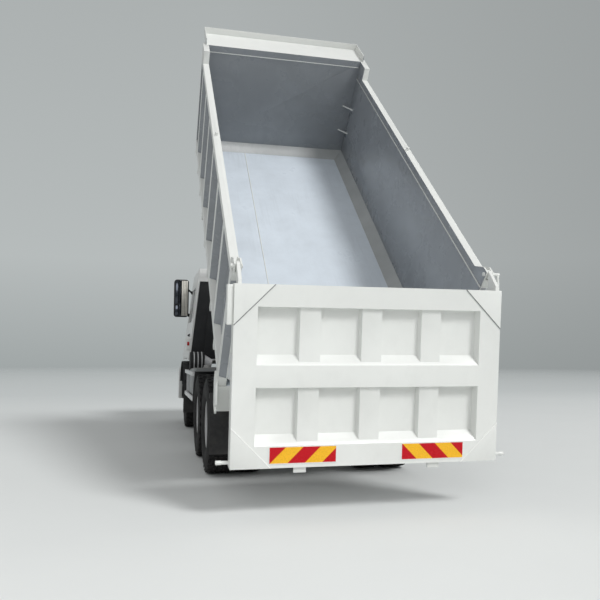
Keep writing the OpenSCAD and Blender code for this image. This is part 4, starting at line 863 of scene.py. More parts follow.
@dataclass
class Tyres:
    """Tyres with block tread, each turned from its section and lugged."""

    wardrobe: Wardrobe
    radius: float = 0.560
    bead_radius: float = 0.2705
    half_width: float = 0.155
    bead_half: float = 0.107
    lug_depth: float = 0.015
    lug_edge: float = 0.003
    outer_row: Pair = (0.09, 0.128)
    inner_row: Pair = (0.04, 0.074)
    middle_half: float = 0.02
    tread_skin: float = 0.006
    twin_half: float = 0.175
    steps: int = 64

    def section(self) -> list[Pair]:
        """Work out a tyre's section.

        Returns:
            Points as distance along the axle and radius.
        """
        half = self.half_width
        # Half width, and share of the height from the bead to the foot of the tread
        side = [(self.bead_half, 0.0), (self.bead_half + 0.008, 0.07), (half - 0.012, 0.22),
                (half - 0.002, 0.42), (half, 0.5), (half - 0.003, 0.62),
                (half - 0.008, 0.8), (half - 0.016, 0.9), (half - 0.024, 0.97)]
        tread = [(x, 1.0) for x in (0.124, 0.084, 0.074, 0.036, 0.026)]
        rise = self.radius - self.lug_depth - self.bead_radius
        outer = [(x, self.bead_radius + rise * share) for x, share in side + tread]
        return outer + [(-x, radius) for x, radius in reversed(outer)]

    def is_lug(self, spot: Vector) -> bool:
        """Tell whether a face of a tyre is the foot of a lug.

        Args:
            spot: the face's middle, counted from the tyre's.

        Returns:
            Whether a lug stands there.
        """
        if math.hypot(spot.y, spot.z) < self.radius - self.lug_depth - self.tread_skin:
            return False
        step = int(math.atan2(spot.z, spot.y) / math.tau * self.steps + self.steps)
        across = abs(spot.x)
        even = (step + (0 if spot.x > 0 else 1)) % 2 == 0
        outer = even and self.outer_row[0] < across < self.outer_row[1]
        inner = not even and self.inner_row[0] < across < self.inner_row[1]
        return outer or inner or across < self.middle_half

    def add_tyre(self, shape: Shape, centre: Vector) -> None:
        """Turn one tyre and raise its lugs.

        Args:
            shape: the shape that takes it.
            centre: its middle.
        """
        faces = shape.turned(self.section(), centre, self.steps)
        lugs = [face for face in faces if self.is_lug(face.calc_center_median() - centre)]
        bmesh.ops.inset_individual(shape.mesh, faces=lugs, thickness=self.lug_edge, depth=self.lug_depth,
                                   use_even_offset=True)

    def build(self) -> None:
        """Make every tyre of the truck."""
        for side in SIDES:
            front = Shape()
            self.add_tyre(front, joint_place(f"front_{side}_spin"))
            self.finish(front, f"front_{side}", "tyre")
            for axle in ("middle", "rear"):
                twin = Shape()
                for offset in (-self.twin_half, self.twin_half):
                    self.add_tyre(twin, joint_place(f"{axle}_{side}_spin") + Vector((offset, 0, 0)))
                self.finish(twin, f"{axle}_{side}", "tyres")

    def finish(self, shape: Shape, corner: str, node: str) -> None:
        """Hand a wheel's tyres over as a piece."""
        rubber = self.wardrobe.pick("tyre_rubber")
        shape.piece(f"{corner}_tread", f"{corner}_wheel", "tyre_rubber", rubber, Matrix(),
                    [f"{corner}_{node}"])


@dataclass
class WheelNuts:
    """Wheel nuts with their washers and studs."""

    wardrobe: Wardrobe
    circle: float = 0.1675
    count: int = 10
    nut_radius: float = 0.019
    nut_length: float = 0.03
    washer_radius: float = 0.0247
    washer_length: float = 0.006
    stud_radius: float = 0.011
    stud_length: float = 0.042
    front_face: float = 0.070
    rear_face: float = 0.014

    def build(self) -> None:
        """Add the nuts of every wheel."""
        faces = {"front": self.front_face, "middle": self.rear_face, "rear": self.rear_face}
        for side in SIDES:
            for axle, face in faces.items():
                corner = f"{axle}_{side}"
                shape = Shape()
                for index in range(self.count):
                    self.add_nut(shape, face, math.tau * index / self.count)
                if side == "left":
                    shape.flipped()
                place = Matrix.Translation(joint_place(f"{corner}_spin"))
                steel = self.wardrobe.pick("exhaust_steel")
                shape.piece(f"{corner}_nuts", f"{corner}_wheel", "exhaust_steel", steel, place)

    def add_nut(self, shape: Shape, face: float, turn: float) -> None:
        """Add one nut with its washer and stud.

        Args:
            shape: the shape that takes it.
            face: place of the wheel's face along the axle.
            turn: where it lies round the axle, in radians.
        """
        foot = Vector((face, self.circle * math.cos(turn), self.circle * math.sin(turn)))
        shape.rod(foot, foot + Vector((self.washer_length, 0, 0)), self.washer_radius, sides=16)
        shape.rod(foot, foot + Vector((self.nut_length, 0, 0)), self.nut_radius, sides=6, round_by=0.003)
        shape.rod(foot, foot + Vector((self.stud_length, 0, 0)), self.stud_radius, sides=12, round_by=0.002)


@dataclass
class ReflectorBoards:
    """Striped boards low on the tailgate."""

    wardrobe: Wardrobe
    inner: float = 0.300
    width: float = 0.600
    height: float = 0.150
    thickness: float = 0.004
    top: float = -1.532
    face: float = -0.189
    border: float = 0.008
    stripe: float = 0.109
    stripes: int = 8

    def build(self) -> None:
        """Make both boards as one piece."""
        shape = Shape()
        for sign in (-1, 1):
            self.add_board(shape, sign)
        materials = self.wardrobe.pick("reflector_board", "stripe_red", "stripe_yellow")
        shape.piece("reflector_stripes", "tailgate", "reflector_board", materials, GATE, ["chevron_boards"])

    def add_board(self, shape: Shape, sign: int) -> None:
        """Add one board, its face cut into slanting stripes.

        Args:
            shape: the shape that takes it.
            sign: -1 for the left board, 1 for the right one.
        """
        mesh = shape.mesh
        left, right = sorted((sign * self.inner, sign * (self.inner + self.width)))
        bottom = self.top - self.height
        before = set(mesh.faces)
        shape.block((left, self.face, bottom), (right, self.face + self.thickness, self.top))
        front = [face for face in mesh.faces if face not in before and face.normal.y < -0.9]
        bmesh.ops.inset_region(mesh, faces=front, thickness=self.border)
        slant = Vector((1, 0, sign)).normalized()
        start = Vector((left, 0, self.top if sign < 0 else bottom))
        pieces = list(front)
        for index in range(1, self.stripes):
            part = pieces + list(dict.fromkeys(edge for face in pieces for edge in face.edges))
            part += list(dict.fromkeys(vert for face in pieces for vert in face.verts))
            spot = start + slant * self.stripe * index
            made = bmesh.ops.bisect_plane(mesh, geom=part, dist=1e-6, plane_co=spot, plane_no=slant)
            pieces = [item for item in made["geom"] if isinstance(item, Face)]
        for face in pieces:
            along = (face.calc_center_median() - start).dot(slant) / self.stripe
            face.material_index = 1 + int(along) % 2


@dataclass
class Mirrors:
    """Rear-view mirrors: rounded housings with a main and a wide-angle glass."""

    wardrobe: Wardrobe
    low: float = 2.19
    high: float = 2.98
    inner: float = 1.075
    middle: float = 1.235
    outer: float = 1.380
    face_y: float = 0.850
    split: float = 2.45
    half_gap: float = 0.012
    edge: float = 0.024
    glass_proud: float = 0.006
    ribs: int = 4
    rib_proud: float = 0.008
    rib_sunk: float = 0.001
    rib_gap: float = 0.006
    panel_gap: float = 0.01
    housing_round: float = 0.012

    def build(self) -> None:
        """Make the glasses, the ribbed inner panel and the housing of both mirrors."""
        for side in SIDES:
            body, node = f"{side}_door", f"{side}_mirror"
            faces = ((self.glasses(), "glasses", "hoist_chrome", "mirror_face"),
                     (self.panel(), "panel", "dark_plastic", "mirror_trim"))
            for shape, word, slot, finish in faces:
                if side == "left":
                    shape.flipped()
                shape.piece(f"{node}_{word}", body, slot, self.wardrobe.pick(finish))
            housing = softened_node(node, self.housing_round)
            plastic = self.wardrobe.pick("dark_plastic")
            housing.piece(f"{node}_housing", body, "dark_plastic", plastic, Matrix(), [node])

    def glasses(self) -> Shape:
        """Make a right mirror's two glasses, one above the other.

        Returns:
            Their shape.
        """
        shape = Shape()
        halves = ((self.low + self.edge, self.split - self.half_gap),
                  (self.split + self.half_gap, self.high - self.edge))
        for low, high in halves:
            shape.block((self.middle, self.face_y - self.glass_proud, low),
                        (self.outer - self.edge, self.face_y, high), round_by=0.0025)
        return shape

    def panel(self) -> Shape:
        """Make the ribbed panel between a right mirror's glasses and its inner edge.

        Returns:
            Its shape.
        """
        shape = Shape()
        pitch = (self.middle - self.inner - self.edge - self.panel_gap) / self.ribs
        for index in range(self.ribs):
            left = self.inner + self.edge + index * pitch
            right = left + pitch - self.rib_gap
            shape.block((left, self.face_y - self.rib_proud, self.low + self.edge),
                        (right, self.face_y + self.rib_sunk, self.high - self.edge), round_by=0.003)
        return shape


@dataclass
class CabTrim:
    """Window seals, wipers, door handles, corner markers and the dark rear panel of the cab."""

    wardrobe: Wardrobe
    lower_edge: float = 1.29
    half: float = 1.15
    screen_low: float = 1.96
    screen_high: float = 2.86
    front: float = 1.40
    rake: float = 0.24
    seal_foot: float = 0.04
    seal_head: float = 0.012
    seal_margin: float = 0.095
    seal_proud: float = 0.002
    seal_size: Pair = (0.032, 0.008)
    wiper_feet: Pair = (-0.55, 0.35)
    wiper_off: float = 0.03
    wiper_reach: Pair = (0.42, 0.34)
    hub_ends: Pair = (-0.05, 0.012)
    blade_off: float = 0.022
    blade_half: Pair = (0.2, 0.17)
    rear: float = -0.500
    panel_heights: Pair = (1.32, 2.80)
    panel_margin: float = 0.035
    backing_inset: float = 0.004
    backing_out: float = 0.007
    strip_out: float = 0.014
    strip_in: float = 0.001
    strip_gap: float = 0.01
    strips: int = 9
    marker: Box = ((1.06, -0.46, 1.47), (1.185, -0.28, 1.73))
    marker_lens: Box = ((1.13, -0.468, 1.57), (1.172, -0.44, 1.64))
    window: tuple[Pair, ...] = ((0.012, 2.032), (0.990, 2.032), (0.795, 2.758), (0.012, 2.758))
    window_proud: float = 0.001
    window_seal: Pair = (0.03, 0.007)
    grip_place: Pair = (0.10, 1.78)
    grip_plate: Box = ((-0.004, -0.10, -0.03), (0.006, 0.10, 0.03))
    grip_bar: Box = ((0.004, -0.085, -0.014), (0.034, 0.085, 0.016))

    def half_at(self, z: float) -> float:
        """Half the cab's width at a height."""
        return self.half - (z - self.lower_edge) * math.tan(CAB_LEAN)

    def screen_y(self, z: float) -> float:
        """Place of the windscreen's outer plane at a height."""
        return self.front - (z - self.screen_low) * self.rake / (self.screen_high - self.screen_low)

    def build(self) -> None:
        """Make the trim of the cab and its doors."""
        self.add_screen_trim()
        self.add_rear_panel()
        self.add_corner_markers()
        for side in SIDES:
            self.add_door_trim(side)

    def add_screen_trim(self) -> None:
        """Make the windscreen's seal and the wipers."""
        shape = Shape()
        low, high = self.screen_low + self.seal_foot, self.screen_high - self.seal_head
        corners = []
        for sign, z in ((-1, low), (1, low), (1, high), (-1, high)):
            x = sign * (self.half_at(z) - self.seal_margin)
            corners.append((x, self.screen_y(z) + self.seal_proud, z))
        shape.outline_frame(corners, *self.seal_size)
        for x in self.wiper_feet:
            self.add_wiper(shape, x, low)
        shape.piece("screen_seal_and_wipers", "cab", "dark_plastic", self.wardrobe.pick("dark_plastic"))

    def add_wiper(self, shape: Shape, x: float, low: float) -> None:
        """Add a wiper's hub, arm and blade.

        Args:
            shape: the shape that takes it.
            x: where it stands across the cab.
            low: height of the windscreen's lower edge.
        """
        reach, lift = self.wiper_reach
        across, rise = self.blade_half
        foot = Vector((x, self.screen_y(low) + self.wiper_off, low - self.wiper_off))
        tip = Vector((x + reach, self.screen_y(low + lift) + self.blade_off, low + lift))
        blade = Vector((across, self.screen_y(rise) - self.screen_y(0.0), rise))
        hub_start, hub_end = (foot + Vector((0, end, 0)) for end in self.hub_ends)
        shape.rod(hub_start, hub_end, radius=0.022, sides=16, round_by=0.004)
        shape.rod(foot, tip, radius=0.007, sides=10)
        shape.rod(tip - blade, tip + blade, radius=0.009, sides=8)

    def add_rear_panel(self) -> None:
        """Make the dark ribbed panel on the cab's rear wall, which narrows upwards with the cab."""
        shape = Shape()
        low, high = self.panel_heights
        inside = self.rear - self.strip_in
        shape.block((-1, self.rear - self.backing_out, low + self.backing_inset),
                    (1, inside, high - self.backing_inset))
        for index in range(self.strips):
            left = 2 * index / self.strips - 1
            right = left + 2 / self.strips - self.strip_gap
            shape.block((left, self.rear - self.strip_out, low), (right, inside, high), round_by=0.004)
        for vert in shape.mesh.verts:
            vert.co.x *= self.half_at(vert.co.z) - self.panel_margin
        shape.piece("cab_rear_panel", "cab", "dark_plastic", self.wardrobe.pick("dark_plastic"))

    def add_corner_markers(self) -> None:
        """Make a marker block with a red lens at both rear corners of the cab."""
        shape = Shape()
        shape.block(*self.marker, round_by=0.035, segments=4)
        before = set(shape.mesh.faces)
        shape.block(*self.marker_lens, round_by=0.006)
        shape.colour_since(before, 1)
        shape.mirrored()
        shape.piece("cab_corner_markers", "cab", "cab_paint", self.wardrobe.pick("cab_paint", "red_lens"))

    def add_door_trim(self, side: str) -> None:
        """Make a door's window seal and handle.

        Args:
            side: left or right.
        """
        shape = Shape()
        corners = [(self.half_at(z) + self.window_proud, y, z) for y, z in self.window]
        shape.outline_frame(corners, *self.window_seal)
        y, z = self.grip_place
        grip = Matrix.Translation((self.half_at(z), y, z)) @ Matrix.Rotation(-CAB_LEAN, 4, "Y")
        shape.block(*self.grip_plate, round_by=0.004, place=grip)
        shape.block(*self.grip_bar, round_by=0.010, segments=3, place=grip)
        if side == "left":
            shape.flipped()
        shape.piece(f"{side}_door_trim", f"{side}_door", "dark_plastic", self.wardrobe.pick("dark_plastic"))


@dataclass
class SeatCushions:
    """Padded seats with sewn channels."""

    wardrobe: Wardrobe
    deck: float = 1.46
    rear: float = -0.110
    half_width: float = 0.260
    places: Pair = (-0.520, 0.520)
    base_inset: float = 0.06
    base_front: float = 0.46
    base_height: float = 0.262
    cushion_half: float = 0.26
    cushion_height: float = 0.138
    back_place: Pair = (0.065, 0.40)
    back_half: float = 0.055
    back_height: float = 0.66
    back_lean: float = 0.2
    cuts: int = 11
    roundness: float = 0.14
    face_from: float = 0.8
    channel: float = 0.55
    channel_width: float = 0.05
    channel_depth: float = 0.014
    crown: float = 0.006

    def build(self) -> None:
        """Make both seats: a base, a cushion and a backrest each."""
        bases = Shape()
        for x in self.places:
            low = (x - self.half_width + self.base_inset, self.rear + self.base_inset, self.deck)
            high = (x + self.half_width - self.base_inset, self.rear + self.base_front,
                    self.deck + self.base_height)
            bases.block(low, high, round_by=0.02, segments=3)
        bases.piece("seat_bases", "cab", "dark_plastic", self.wardrobe.pick("dark_plastic"), TRUCK, ["seats"])
        ahead, up = self.back_place
        for side, x in zip(SIDES, self.places):
            lean = Matrix.Rotation(self.back_lean, 4, "X")
            upright = Matrix.Translation((x, self.rear + ahead, self.deck + up)) @ lean
            flat = Matrix.Translation((x, self.rear + self.cushion_half, self.deck + self.base_height))
            cushion = (self.half_width, self.cushion_half, self.cushion_height)
            back = (self.half_width, self.back_half, self.back_height)
            self.add_pad(f"{side}_seat_cushion", flat, cushion, "Z")
            self.add_pad(f"{side}_seat_back", upright, back, "Y")

    def add_pad(self, name: str, place: Matrix, size: Triple, face: str) -> None:
        """Make one crowned pad with two sewn channels.

        Args:
            name: the piece's name.
            place: middle of the pad's foot.
            size: half width, half depth and height.
            face: the axis that the crowned face looks along.
        """
        shape = Shape()
        mesh = shape.mesh
        shape.block((-size[0], -size[1], 0.0), size)
        bmesh.ops.subdivide_edges(mesh, edges=mesh.edges, cuts=self.cuts, use_grid_fill=True)
        middle = Vector((0, 0, size[2] / 2))
        reach = Vector((size[0], size[1], size[2] / 2))
        for vert in mesh.verts:
            spot = Vector((vert.co[i] - middle[i]) / reach[i] for i in range(3))
            box = max(abs(spot.x), abs(spot.y), abs(spot.z))
            pull = 1 - self.roundness + self.roundness * box / max(spot.length, 1e-6)
            vert.co = middle + Vector(spot[i] * reach[i] * pull for i in range(3))
            across = abs(spot.x)
            if (spot.z if face == "Z" else spot.y) > self.face_from:
                sewn = math.exp(-((across - self.channel) / self.channel_width) ** 2)
                crown = self.crown * max(0.0, 1 - (across / self.channel) ** 2)
                drop = self.channel_depth * sewn - crown
                vert.co -= Vector((0, 0, drop)) if face == "Z" else Vector((0, drop, 0))
        bmesh.ops.smooth_vert(mesh, verts=mesh.verts, factor=0.4, use_axis_x=True, use_axis_y=True,
                              use_axis_z=True)
        piece = shape.piece(name, "cab", "seat_fabric", self.wardrobe.pick("seat_fabric"), TRUCK @ place)
        rounding = piece.modifiers.new("rounding", "SUBSURF")
        rounding.levels = 1
        rounding.render_levels = 1


@dataclass
class SideEquipment:
    """The tank's straps and cap, the battery box's lid, the silencer's bands and the air cleaner."""

    wardrobe: Wardrobe
    tank_out: float = 1.180
    tank_width: float = 0.620
    tank_low: float = 0.640
    tank_height: float = 0.520
    tank_front: float = -1.250
    tank_length: float = 1.100
    tank_round: float = 0.0895
    strap_inset: float = 0.2
    strap_half: float = 0.03
    strap_thickness: float = 0.005
    cap_inset: float = 0.14
    cap_sunk: float = 0.002
    collar_height: float = 0.02
    collar_radius: float = 0.075
    cap_height: float = 0.055
    cap_radius: float = 0.06
    cleaner_place: Pair = (-0.86, 1.28)
    cleaner_ends: Pair = (-1.14, -0.88)
    cleaner_radius: float = 0.165
    bracket_half: float = 0.04
    post_ends: Pair = (-0.99, -0.89)
    post_foot: float = 0.90
    post_sunk: float = 0.1
    arm_end: float = -0.42
    arm_heights: Pair = (0.88, 0.94)
    ring_places: Triple = (-1.07, -1.0, -0.93)
    ring_half: float = 0.008
    ring_proud: float = 0.005
    outlet_ends: Pair = (-0.885, -0.74)
    outlet_drops: Pair = (0.02, 0.04)
    outlet_inset: float = 0.03
    outlet_radius: float = 0.07
    lid: Box = ((0.588, -1.952, 1.058), (1.182, -1.248, 1.074))
    latch_places: Pair = (-1.80, -1.40)
    latch_half: float = 0.02
    latch_sides: Pair = (1.178, 1.192)
    latch_heights: Pair = (0.98, 1.066)
    silencer_axis: Pair = (0.945, 0.79)
    band_places: Pair = (-2.20, -2.58)
    band_half: float = 0.02
    band_radius: float = 0.179

    def build(self) -> None:
        """Make the equipment between the axles and behind the cab."""
        self.add_straps()
        self.add_cleaner()
        self.add_lid()
        self.add_bands()

    def add_lid(self) -> None:
        """Make the battery box's lid with its two latches."""
        shape = Shape()
        shape.block(*self.lid, round_by=0.006)
        inner, outer = self.latch_sides
        low, high = self.latch_heights
        for y in self.latch_places:
            shape.block((inner, y - self.latch_half, low), (outer, y + self.latch_half, high), round_by=0.004)
        shape.piece("battery_lid", "chassis", "dark_plastic", self.wardrobe.pick("dark_plastic"))

    def add_bands(self) -> None:
        """Make the silencer's two bands."""
        shape = Shape()
        x, z = self.silencer_axis
        half = self.band_half
        for y in self.band_places:
            shape.rod((x, y - half, z), (x, y + half, z), self.band_radius, sides=40, round_by=0.003)
        shape.piece("silencer_bands", "chassis", "exhaust_steel", self.wardrobe.pick("exhaust_steel"))

    def add_cleaner(self) -> None:
        """Make the air cleaner behind the cab, with its bracket, rings and outlet."""
        y, z = self.cleaner_place
        radius = self.cleaner_radius
        rear, front = y - self.bracket_half, y + self.bracket_half
        start, end = self.cleaner_ends
        post_left, post_right = self.post_ends
        arm_low, arm_high = self.arm_heights
        shape = Shape()
        shape.rod((start, y, z), (end, y, z), radius, sides=40, round_by=0.012)
        shape.block((post_left, rear, self.post_foot), (post_right, front, z - self.post_sunk),
                    round_by=0.006)
        shape.block((post_left, rear, arm_low), (self.arm_end, front, arm_high), round_by=0.006)
        before = set(shape.mesh.faces)
        half = self.ring_half
        for x in self.ring_places:
            shape.rod((x - half, y, z), (x + half, y, z), radius + self.ring_proud, sides=40, round_by=0.003)
        wide, narrow = ((x, y, z - drop) for x, drop in zip(self.outlet_ends, self.outlet_drops))
        shape.rod(wide, narrow, radius - self.outlet_inset, sides=40, end_radius=self.outlet_radius)
        shape.colour_since(before, 1)
        materials = self.wardrobe.pick("dark_plastic", "guard_paint")
        shape.piece("air_cleaner", "chassis", "dark_plastic", materials)

    def add_straps(self) -> None:
        """Make the tank's two straps and its filler cap."""
        shape = Shape()
        mesh = shape.mesh
        left, right = -self.tank_out, -self.tank_out + self.tank_width
        low, high = self.tank_low, self.tank_low + self.tank_height
        tank_rear = self.tank_front - self.tank_length
        for y in (self.tank_front - self.strap_inset, tank_rear + self.strap_inset):
            corners = [(left, low), (right, low), (right, high), (left, high)]
            face = mesh.faces.new([mesh.verts.new((x, y - self.strap_half, z)) for x, z in corners])
            bmesh.ops.bevel(mesh, geom=list(face.verts), offset=self.tank_round, offset_type="OFFSET",
                            segments=6, profile=0.5, affect="VERTICES", material=-1)
            outline = [item for item in mesh.faces if len(item.verts) > 8]
            made = bmesh.ops.extrude_face_region(mesh, geom=outline)
            moved = [item for item in made["geom"] if isinstance(item, bmesh.types.BMVert)]
            bmesh.ops.translate(mesh, verts=moved, vec=(0, 2 * self.strap_half, 0))
            caps = [item for item in mesh.faces if len(item.verts) > 8]
            bmesh.ops.delete(mesh, geom=caps, context="FACES_ONLY")
        bmesh.ops.recalc_face_normals(mesh, faces=mesh.faces)
        bmesh.ops.solidify(mesh, geom=mesh.faces[:], thickness=-self.strap_thickness)
        cap = Vector(((left + right) / 2, self.tank_front - self.cap_inset, high - self.cap_sunk))
        shape.rod(cap, cap + Vector((0, 0, self.collar_height)), self.collar_radius, sides=24, round_by=0.004)
        shape.rod(cap, cap + Vector((0, 0, self.cap_height)), self.cap_radius, sides=12, round_by=0.006)
        shape.piece("tank_straps_and_cap", "chassis", "exhaust_steel", self.wardrobe.pick("exhaust_steel"))


@dataclass
class BedDetails:
    """The bed's weld bead and folded lips, and the tailgate's seams, left ear and pin ends."""

    wardrobe: Wardrobe
    bead: Box = ((-0.53, 0.01, 0.0005), (-0.46, 5.06, 0.0005))
    bead_radius: float = 0.007
    lip_proud: float = 0.009
    lip_sunk: float = 0.001
    lip_height: float = 0.01
    lip_start: float = 0.005
    lip_end: float = 0.01
    lip_inset: float = 0.012
    seam_up: float = 1.500
    gate_half: float = 1.230
    gate_face: float = -0.1885
    gate_top: float = -0.150
    gate_low: float = -1.717
    corner_leg: float = 0.350
    seam_radius: float = 0.004
    ear: Box = ((-1.285, -0.165, -0.50), (-1.229, -0.075, -0.16))
    pin: Box = ((1.296, -0.12, -1.672), (1.345, -0.12, -1.672))
    pin_radius: float = 0.019

    def build(self) -> None:
        """Make the weld bead, the walls' lips, and the gate's seams, ear and pin ends."""
        white = self.wardrobe.pick("bed_paint")
        bead = Shape()
        bead.rod(*self.bead, self.bead_radius, sides=10)
        bead.piece("floor_weld_bead", "bed", "floor_paint", white, BED)
        self.add_lips()
        self.add_seam("upper_corner_seams", self.gate_top, -self.corner_leg, "seam_sealer")
        self.add_seam("lower_corner_seams", self.gate_low, self.corner_leg, "weld_white")
        ear = Shape()
        ear.block(*self.ear, round_by=0.008, segments=3)
        ear.piece("left_gate_ear", "tailgate", "bed_paint", white, GATE)
        pins = Shape()
        pins.rod(*self.pin, self.pin_radius, sides=20, round_by=0.004)
        pins.mirrored()
        pins.piece("lock_pin_ends", "tailgate", "bed_paint", white, GATE)

    def add_lips(self) -> None:
        """Make the folded lips inside the side walls and the headboard."""
        lips = Shape()
        lips.block((BED_WALL - self.lip_proud, self.lip_start, RAIL_LOW),
                   (BED_WALL + self.lip_sunk, BED_LENGTH - self.lip_end, RAIL_LOW + self.lip_height),
                   round_by=0.002)
        lips.mirrored()
        reach = BED_WALL - self.lip_inset
        lips.block((-reach, BED_LENGTH - self.lip_proud, self.seam_up),
                   (reach, BED_LENGTH + self.lip_sunk, self.seam_up + self.lip_height), round_by=0.002)
        lips.piece("bed_wall_lips", "bed", "bed_paint", self.wardrobe.pick("bed_paint"), BED)

    def add_seam(self, name: str, edge: float, rise: float, finish: str) -> None:
        """Make the slanting seams of two of the gate's corner plates.

        Args:
            name: the piece's name.
            edge: height of the gate's edge that the plates lie along.
            rise: how far a seam rises from that edge to the gate's side.
            finish: the finish that shows.
        """
        seams = Shape()
        seams.rod((self.gate_half - self.corner_leg, self.gate_face, edge),
                  (self.gate_half, self.gate_face, edge + rise), self.seam_radius, sides=8)
        seams.mirrored()
        seams.piece(name, "tailgate", "bed_paint", self.wardrobe.pick(finish), GATE)


@dataclass
class Lamps:
    """Rear lamp lenses and the headlamps' reflectors."""

    wardrobe: Wardrobe
    lens_sides: Pair = (0.53, 0.84)
    lens_heights: Pair = (0.815, 0.925)
    lens_rear: float = -6.031
    lens_proud: float = 0.008
    lens_sunk: float = 0.004
    # Material, start and end of each lens as shares of the lamp's width
    lenses: tuple[tuple[int, float, float], ...] = ((0, 0.0, 0.34), (1, 0.36, 0.66), (0, 0.68, 1.0))
    head_width: float = 0.29
    bowl_shares: Pair = (0.26, 0.74)
    bowl_sunk: float = 0.004
    bowl: tuple[Pair, ...] = ((-0.034, 0.0), (-0.034, 0.064), (0.0, 0.064), (0.0, 0.058), (-0.014, 0.05),
                              (-0.024, 0.034), (-0.028, 0.014), (-0.012, 0.012), (-0.008, 0.0))

    def build(self) -> None:
        """Make the lamps of both sides."""
        self.add_rear_lenses()
        self.add_head_bowls()

    def add_head_bowls(self) -> None:
        """Make two reflector bowls with a bulb each behind either headlamp's glass."""
        low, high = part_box("headlamps")
        bowls = Shape()
        for sign in (-1, 1):
            for share in self.bowl_shares:
                x = sign * (high[0] - self.head_width * share)
                bowls.turned(self.bowl, (high[1] - self.bowl_sunk, -x, (low[2] + high[2]) / 2), 32)
        facing = Matrix.Rotation(math.radians(90), 4, "Z")
        bowls.piece("headlamp_bowls", "chassis", "hoist_chrome", self.wardrobe.pick("hoist_chrome"), facing)

    def add_rear_lenses(self) -> None:
        """Make the red and amber lenses of the rear lamps."""
        shape = Shape()
        inner, outer = self.lens_sides
        low, high = self.lens_heights
        for index, start, end in self.lenses:
            before = set(shape.mesh.faces)
            shape.block((inner + (outer - inner) * start, self.lens_rear - self.lens_proud, low),
                        (inner + (outer - inner) * end, self.lens_rear + self.lens_sunk, high),
                        round_by=0.005)
            shape.colour_since(before, index)
        shape.mirrored()
        shape.piece("rear_lamp_lenses", "chassis", "red_lens", self.wardrobe.pick("red_lens", "amber_lens"))


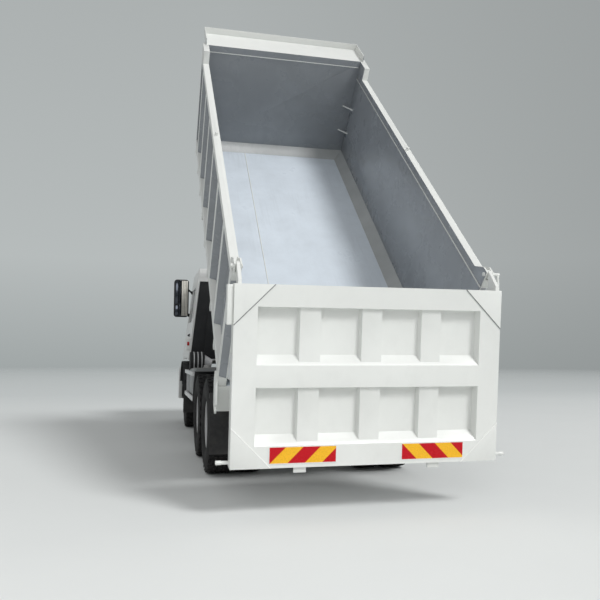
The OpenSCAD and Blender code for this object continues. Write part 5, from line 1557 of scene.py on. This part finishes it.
@dataclass
class Studio:
    """Floor, backdrop, lights and the camera at the photograph's angle."""

    focal: float = 39.27
    sensor: float = 36.0
    far_end: float = 400.0
    place: Triple = (-1.938, -9.9981, 1.382)
    yaw: float = math.radians(13.22)
    pitch: float = math.radians(4.87)
    roll: float = math.radians(0.19)
    sun_way: Triple = (-0.374, 0.656, -0.656)
    sun_strength: float = 1.88
    sun_spread: float = math.radians(16)
    sky_strength: float = 0.585
    horizon_share: float = 0.25
    fill_place: Triple = (-4.0, -17.0, 8.5)
    fill_aim: Triple = (0.0, -3.0, 1.5)
    fill_size: float = 6.0
    fill_power: float = 318.0
    floor_radius: float = 150.0
    # The step from the near to the far floor colour is painted falloff of the light.
    floor_near: Colour = (0.785, 0.805, 0.795)
    floor_far: Colour = (0.565, 0.595, 0.595)
    floor_stain: Colour = (0.4, 0.41, 0.41)
    floor_tones: Pair = (-7.5, 14.0)
    floor_fade: Pair = (14.0, 70.0)
    # Backdrop tones: a painted glow brightest just above the horizon, and painted shade towards the right.
    backdrop_low: Colour = (0.355, 0.385, 0.385)
    backdrop_middle: Colour = (0.47, 0.5, 0.5)
    backdrop_high: Colour = (0.40, 0.425, 0.425)
    backdrop_side: Colour = (0.24, 0.255, 0.255)

    def build(self) -> None:
        """Set up the whole studio."""
        self.add_camera()
        self.add_floor()
        self.add_sky()
        self.add_lights()
        bpy.context.scene.view_settings.view_transform = "Standard"

    def add_lights(self) -> None:
        """Hang a broad sun as the key light and a soft disk behind the camera as the fill."""
        sun = bpy.data.lights.new("key", "SUN")
        sun.energy = self.sun_strength
        sun.angle = self.sun_spread
        new_object("key", sun).rotation_euler = Vector(self.sun_way).to_track_quat("-Z", "Y").to_euler()
        soft = bpy.data.lights.new("fill", "AREA")
        soft.shape = "DISK"
        soft.size = self.fill_size
        soft.energy = self.fill_power
        aim = Vector(self.fill_aim) - Vector(self.fill_place)
        turn = aim.to_track_quat("-Z", "Y").to_matrix().to_4x4()
        new_object("fill", soft).matrix_world = Matrix.Translation(self.fill_place) @ turn

    def add_camera(self) -> None:
        """Stand the camera where the photograph was taken."""
        level = math.cos(self.pitch)
        ahead = Vector((math.sin(self.yaw) * level, math.cos(self.yaw) * level, math.sin(self.pitch)))
        right = Vector((math.cos(self.yaw), -math.sin(self.yaw), 0))
        up = right.cross(ahead)
        rolled = math.cos(self.roll) * right + math.sin(self.roll) * up
        upward = -math.sin(self.roll) * right + math.cos(self.roll) * up
        turn = Matrix((rolled, upward, -ahead)).transposed().to_4x4()
        data = bpy.data.cameras.new("camera")
        data.lens = self.focal
        data.sensor_width = self.sensor
        data.clip_end = self.far_end
        camera = new_object("camera", data)
        camera.matrix_world = Matrix.Translation(self.place) @ turn
        bpy.context.scene.camera = camera

    def add_floor(self) -> None:
        """Lay a pale floor that darkens a little to the back, as painted falloff of the light, and fades into the
        backdrop far away.
        """
        mesh = bmesh.new()
        bmesh.ops.create_circle(mesh, cap_ends=True, radius=self.floor_radius, segments=96)
        data = bpy.data.meshes.new("studio_floor")
        mesh.to_mesh(data)
        mesh.free()
        surface = Surface("studio_floor", Roughness=0.85, Specular_IOR_Level=0.1)
        spot = surface.add("ShaderNodeSeparateXYZ", {0: surface.place}).outputs
        # The floor's colour darkens from near to far: painted falloff of the light.
        share = surface.spread(spot["Y"], *self.floor_tones, 0.0, 1.0)
        tone = surface.mix(share, solid(self.floor_near), solid(self.floor_far))
        patches = surface.effect(Effect.MOTTLE, 0.6, 0.04)
        surface.feed("Base Color", surface.mix(patches, tone, solid(self.floor_stain)))
        far = surface.add("ShaderNodeVectorMath", {0: surface.place}, operation="LENGTH").outputs["Value"]
        fade = surface.spread(far, *self.floor_fade, 0.0, 1.0)
        clear = surface.add("ShaderNodeBsdfTransparent")
        near = surface.shader.outputs[0]
        both = surface.add("ShaderNodeMixShader", {0: fade, 1: near, 2: clear.outputs[0]})
        surface.tree.links.new(both.outputs[0], surface.output.inputs["Surface"])
        data.materials.append(surface.material)
        new_object("studio_floor", data)

    def add_sky(self) -> None:
        """Light the scene softly from above, and show a grey backdrop to the camera, gloss and glass, with a
        painted glow in its middle band and painted shade towards the right.
        """
        world = bpy.data.worlds.new("studio")
        bpy.context.scene.world = world
        world.use_nodes = True
        graph = Graph(world.node_tree)
        graph.tree.nodes.clear()
        place = graph.add("ShaderNodeTexCoord").outputs["Generated"]
        way = graph.add("ShaderNodeSeparateXYZ", {0: place}).outputs
        # The backdrop's bands and its darker right side are a painted glow and painted shade.
        rise = graph.spread(way["Z"], -0.02, 0.14, 0.0, 1.0)
        low = graph.mix(rise, solid(self.backdrop_low), solid(self.backdrop_middle))
        top = graph.spread(way["Z"], 0.14, 0.55, 0.0, 1.0)
        tall = graph.mix(top, low, solid(self.backdrop_high))
        side = graph.spread(way["X"], 0.1, 0.62, 0.0, 0.5)
        shown = graph.mix(side, tall, solid(self.backdrop_side))
        rays = graph.add("ShaderNodeLightPath").outputs
        seen = graph.maths("MAXIMUM", rays["Is Camera Ray"], rays["Is Glossy Ray"])
        seen = graph.maths("MAXIMUM", seen, rays["Is Transmission Ray"])
        dim = self.horizon_share * self.sky_strength
        level = graph.spread(way["Z"], 0.05, 0.7, dim, self.sky_strength)
        plain = graph.add("ShaderNodeBackground", {"Color": solid((1.0, 1.0, 1.0)), "Strength": level})
        backdrop = graph.add("ShaderNodeBackground", {"Color": shown, "Strength": 1.0})
        both = graph.add("ShaderNodeMixShader", {0: seen, 1: plain.outputs[0], 2: backdrop.outputs[0]})
        graph.add("ShaderNodeOutputWorld", {"Surface": both.outputs[0]})


def main() -> None:
    """Build every sub-assembly in order."""
    logging.basicConfig(level=logging.INFO, format="%(message)s")
    Studio().build()
    wardrobe = Wardrobe()
    wardrobe.dress_nodes()
    for assembly in (RoundedPanels, Tyres, WheelNuts, ReflectorBoards, Mirrors, CabTrim, SeatCushions,
                     SideEquipment, BedDetails, Lamps):
        assembly(wardrobe).build()
        LOG.info("built %s", assembly.__name__)


if __name__ == "__main__":
    main()
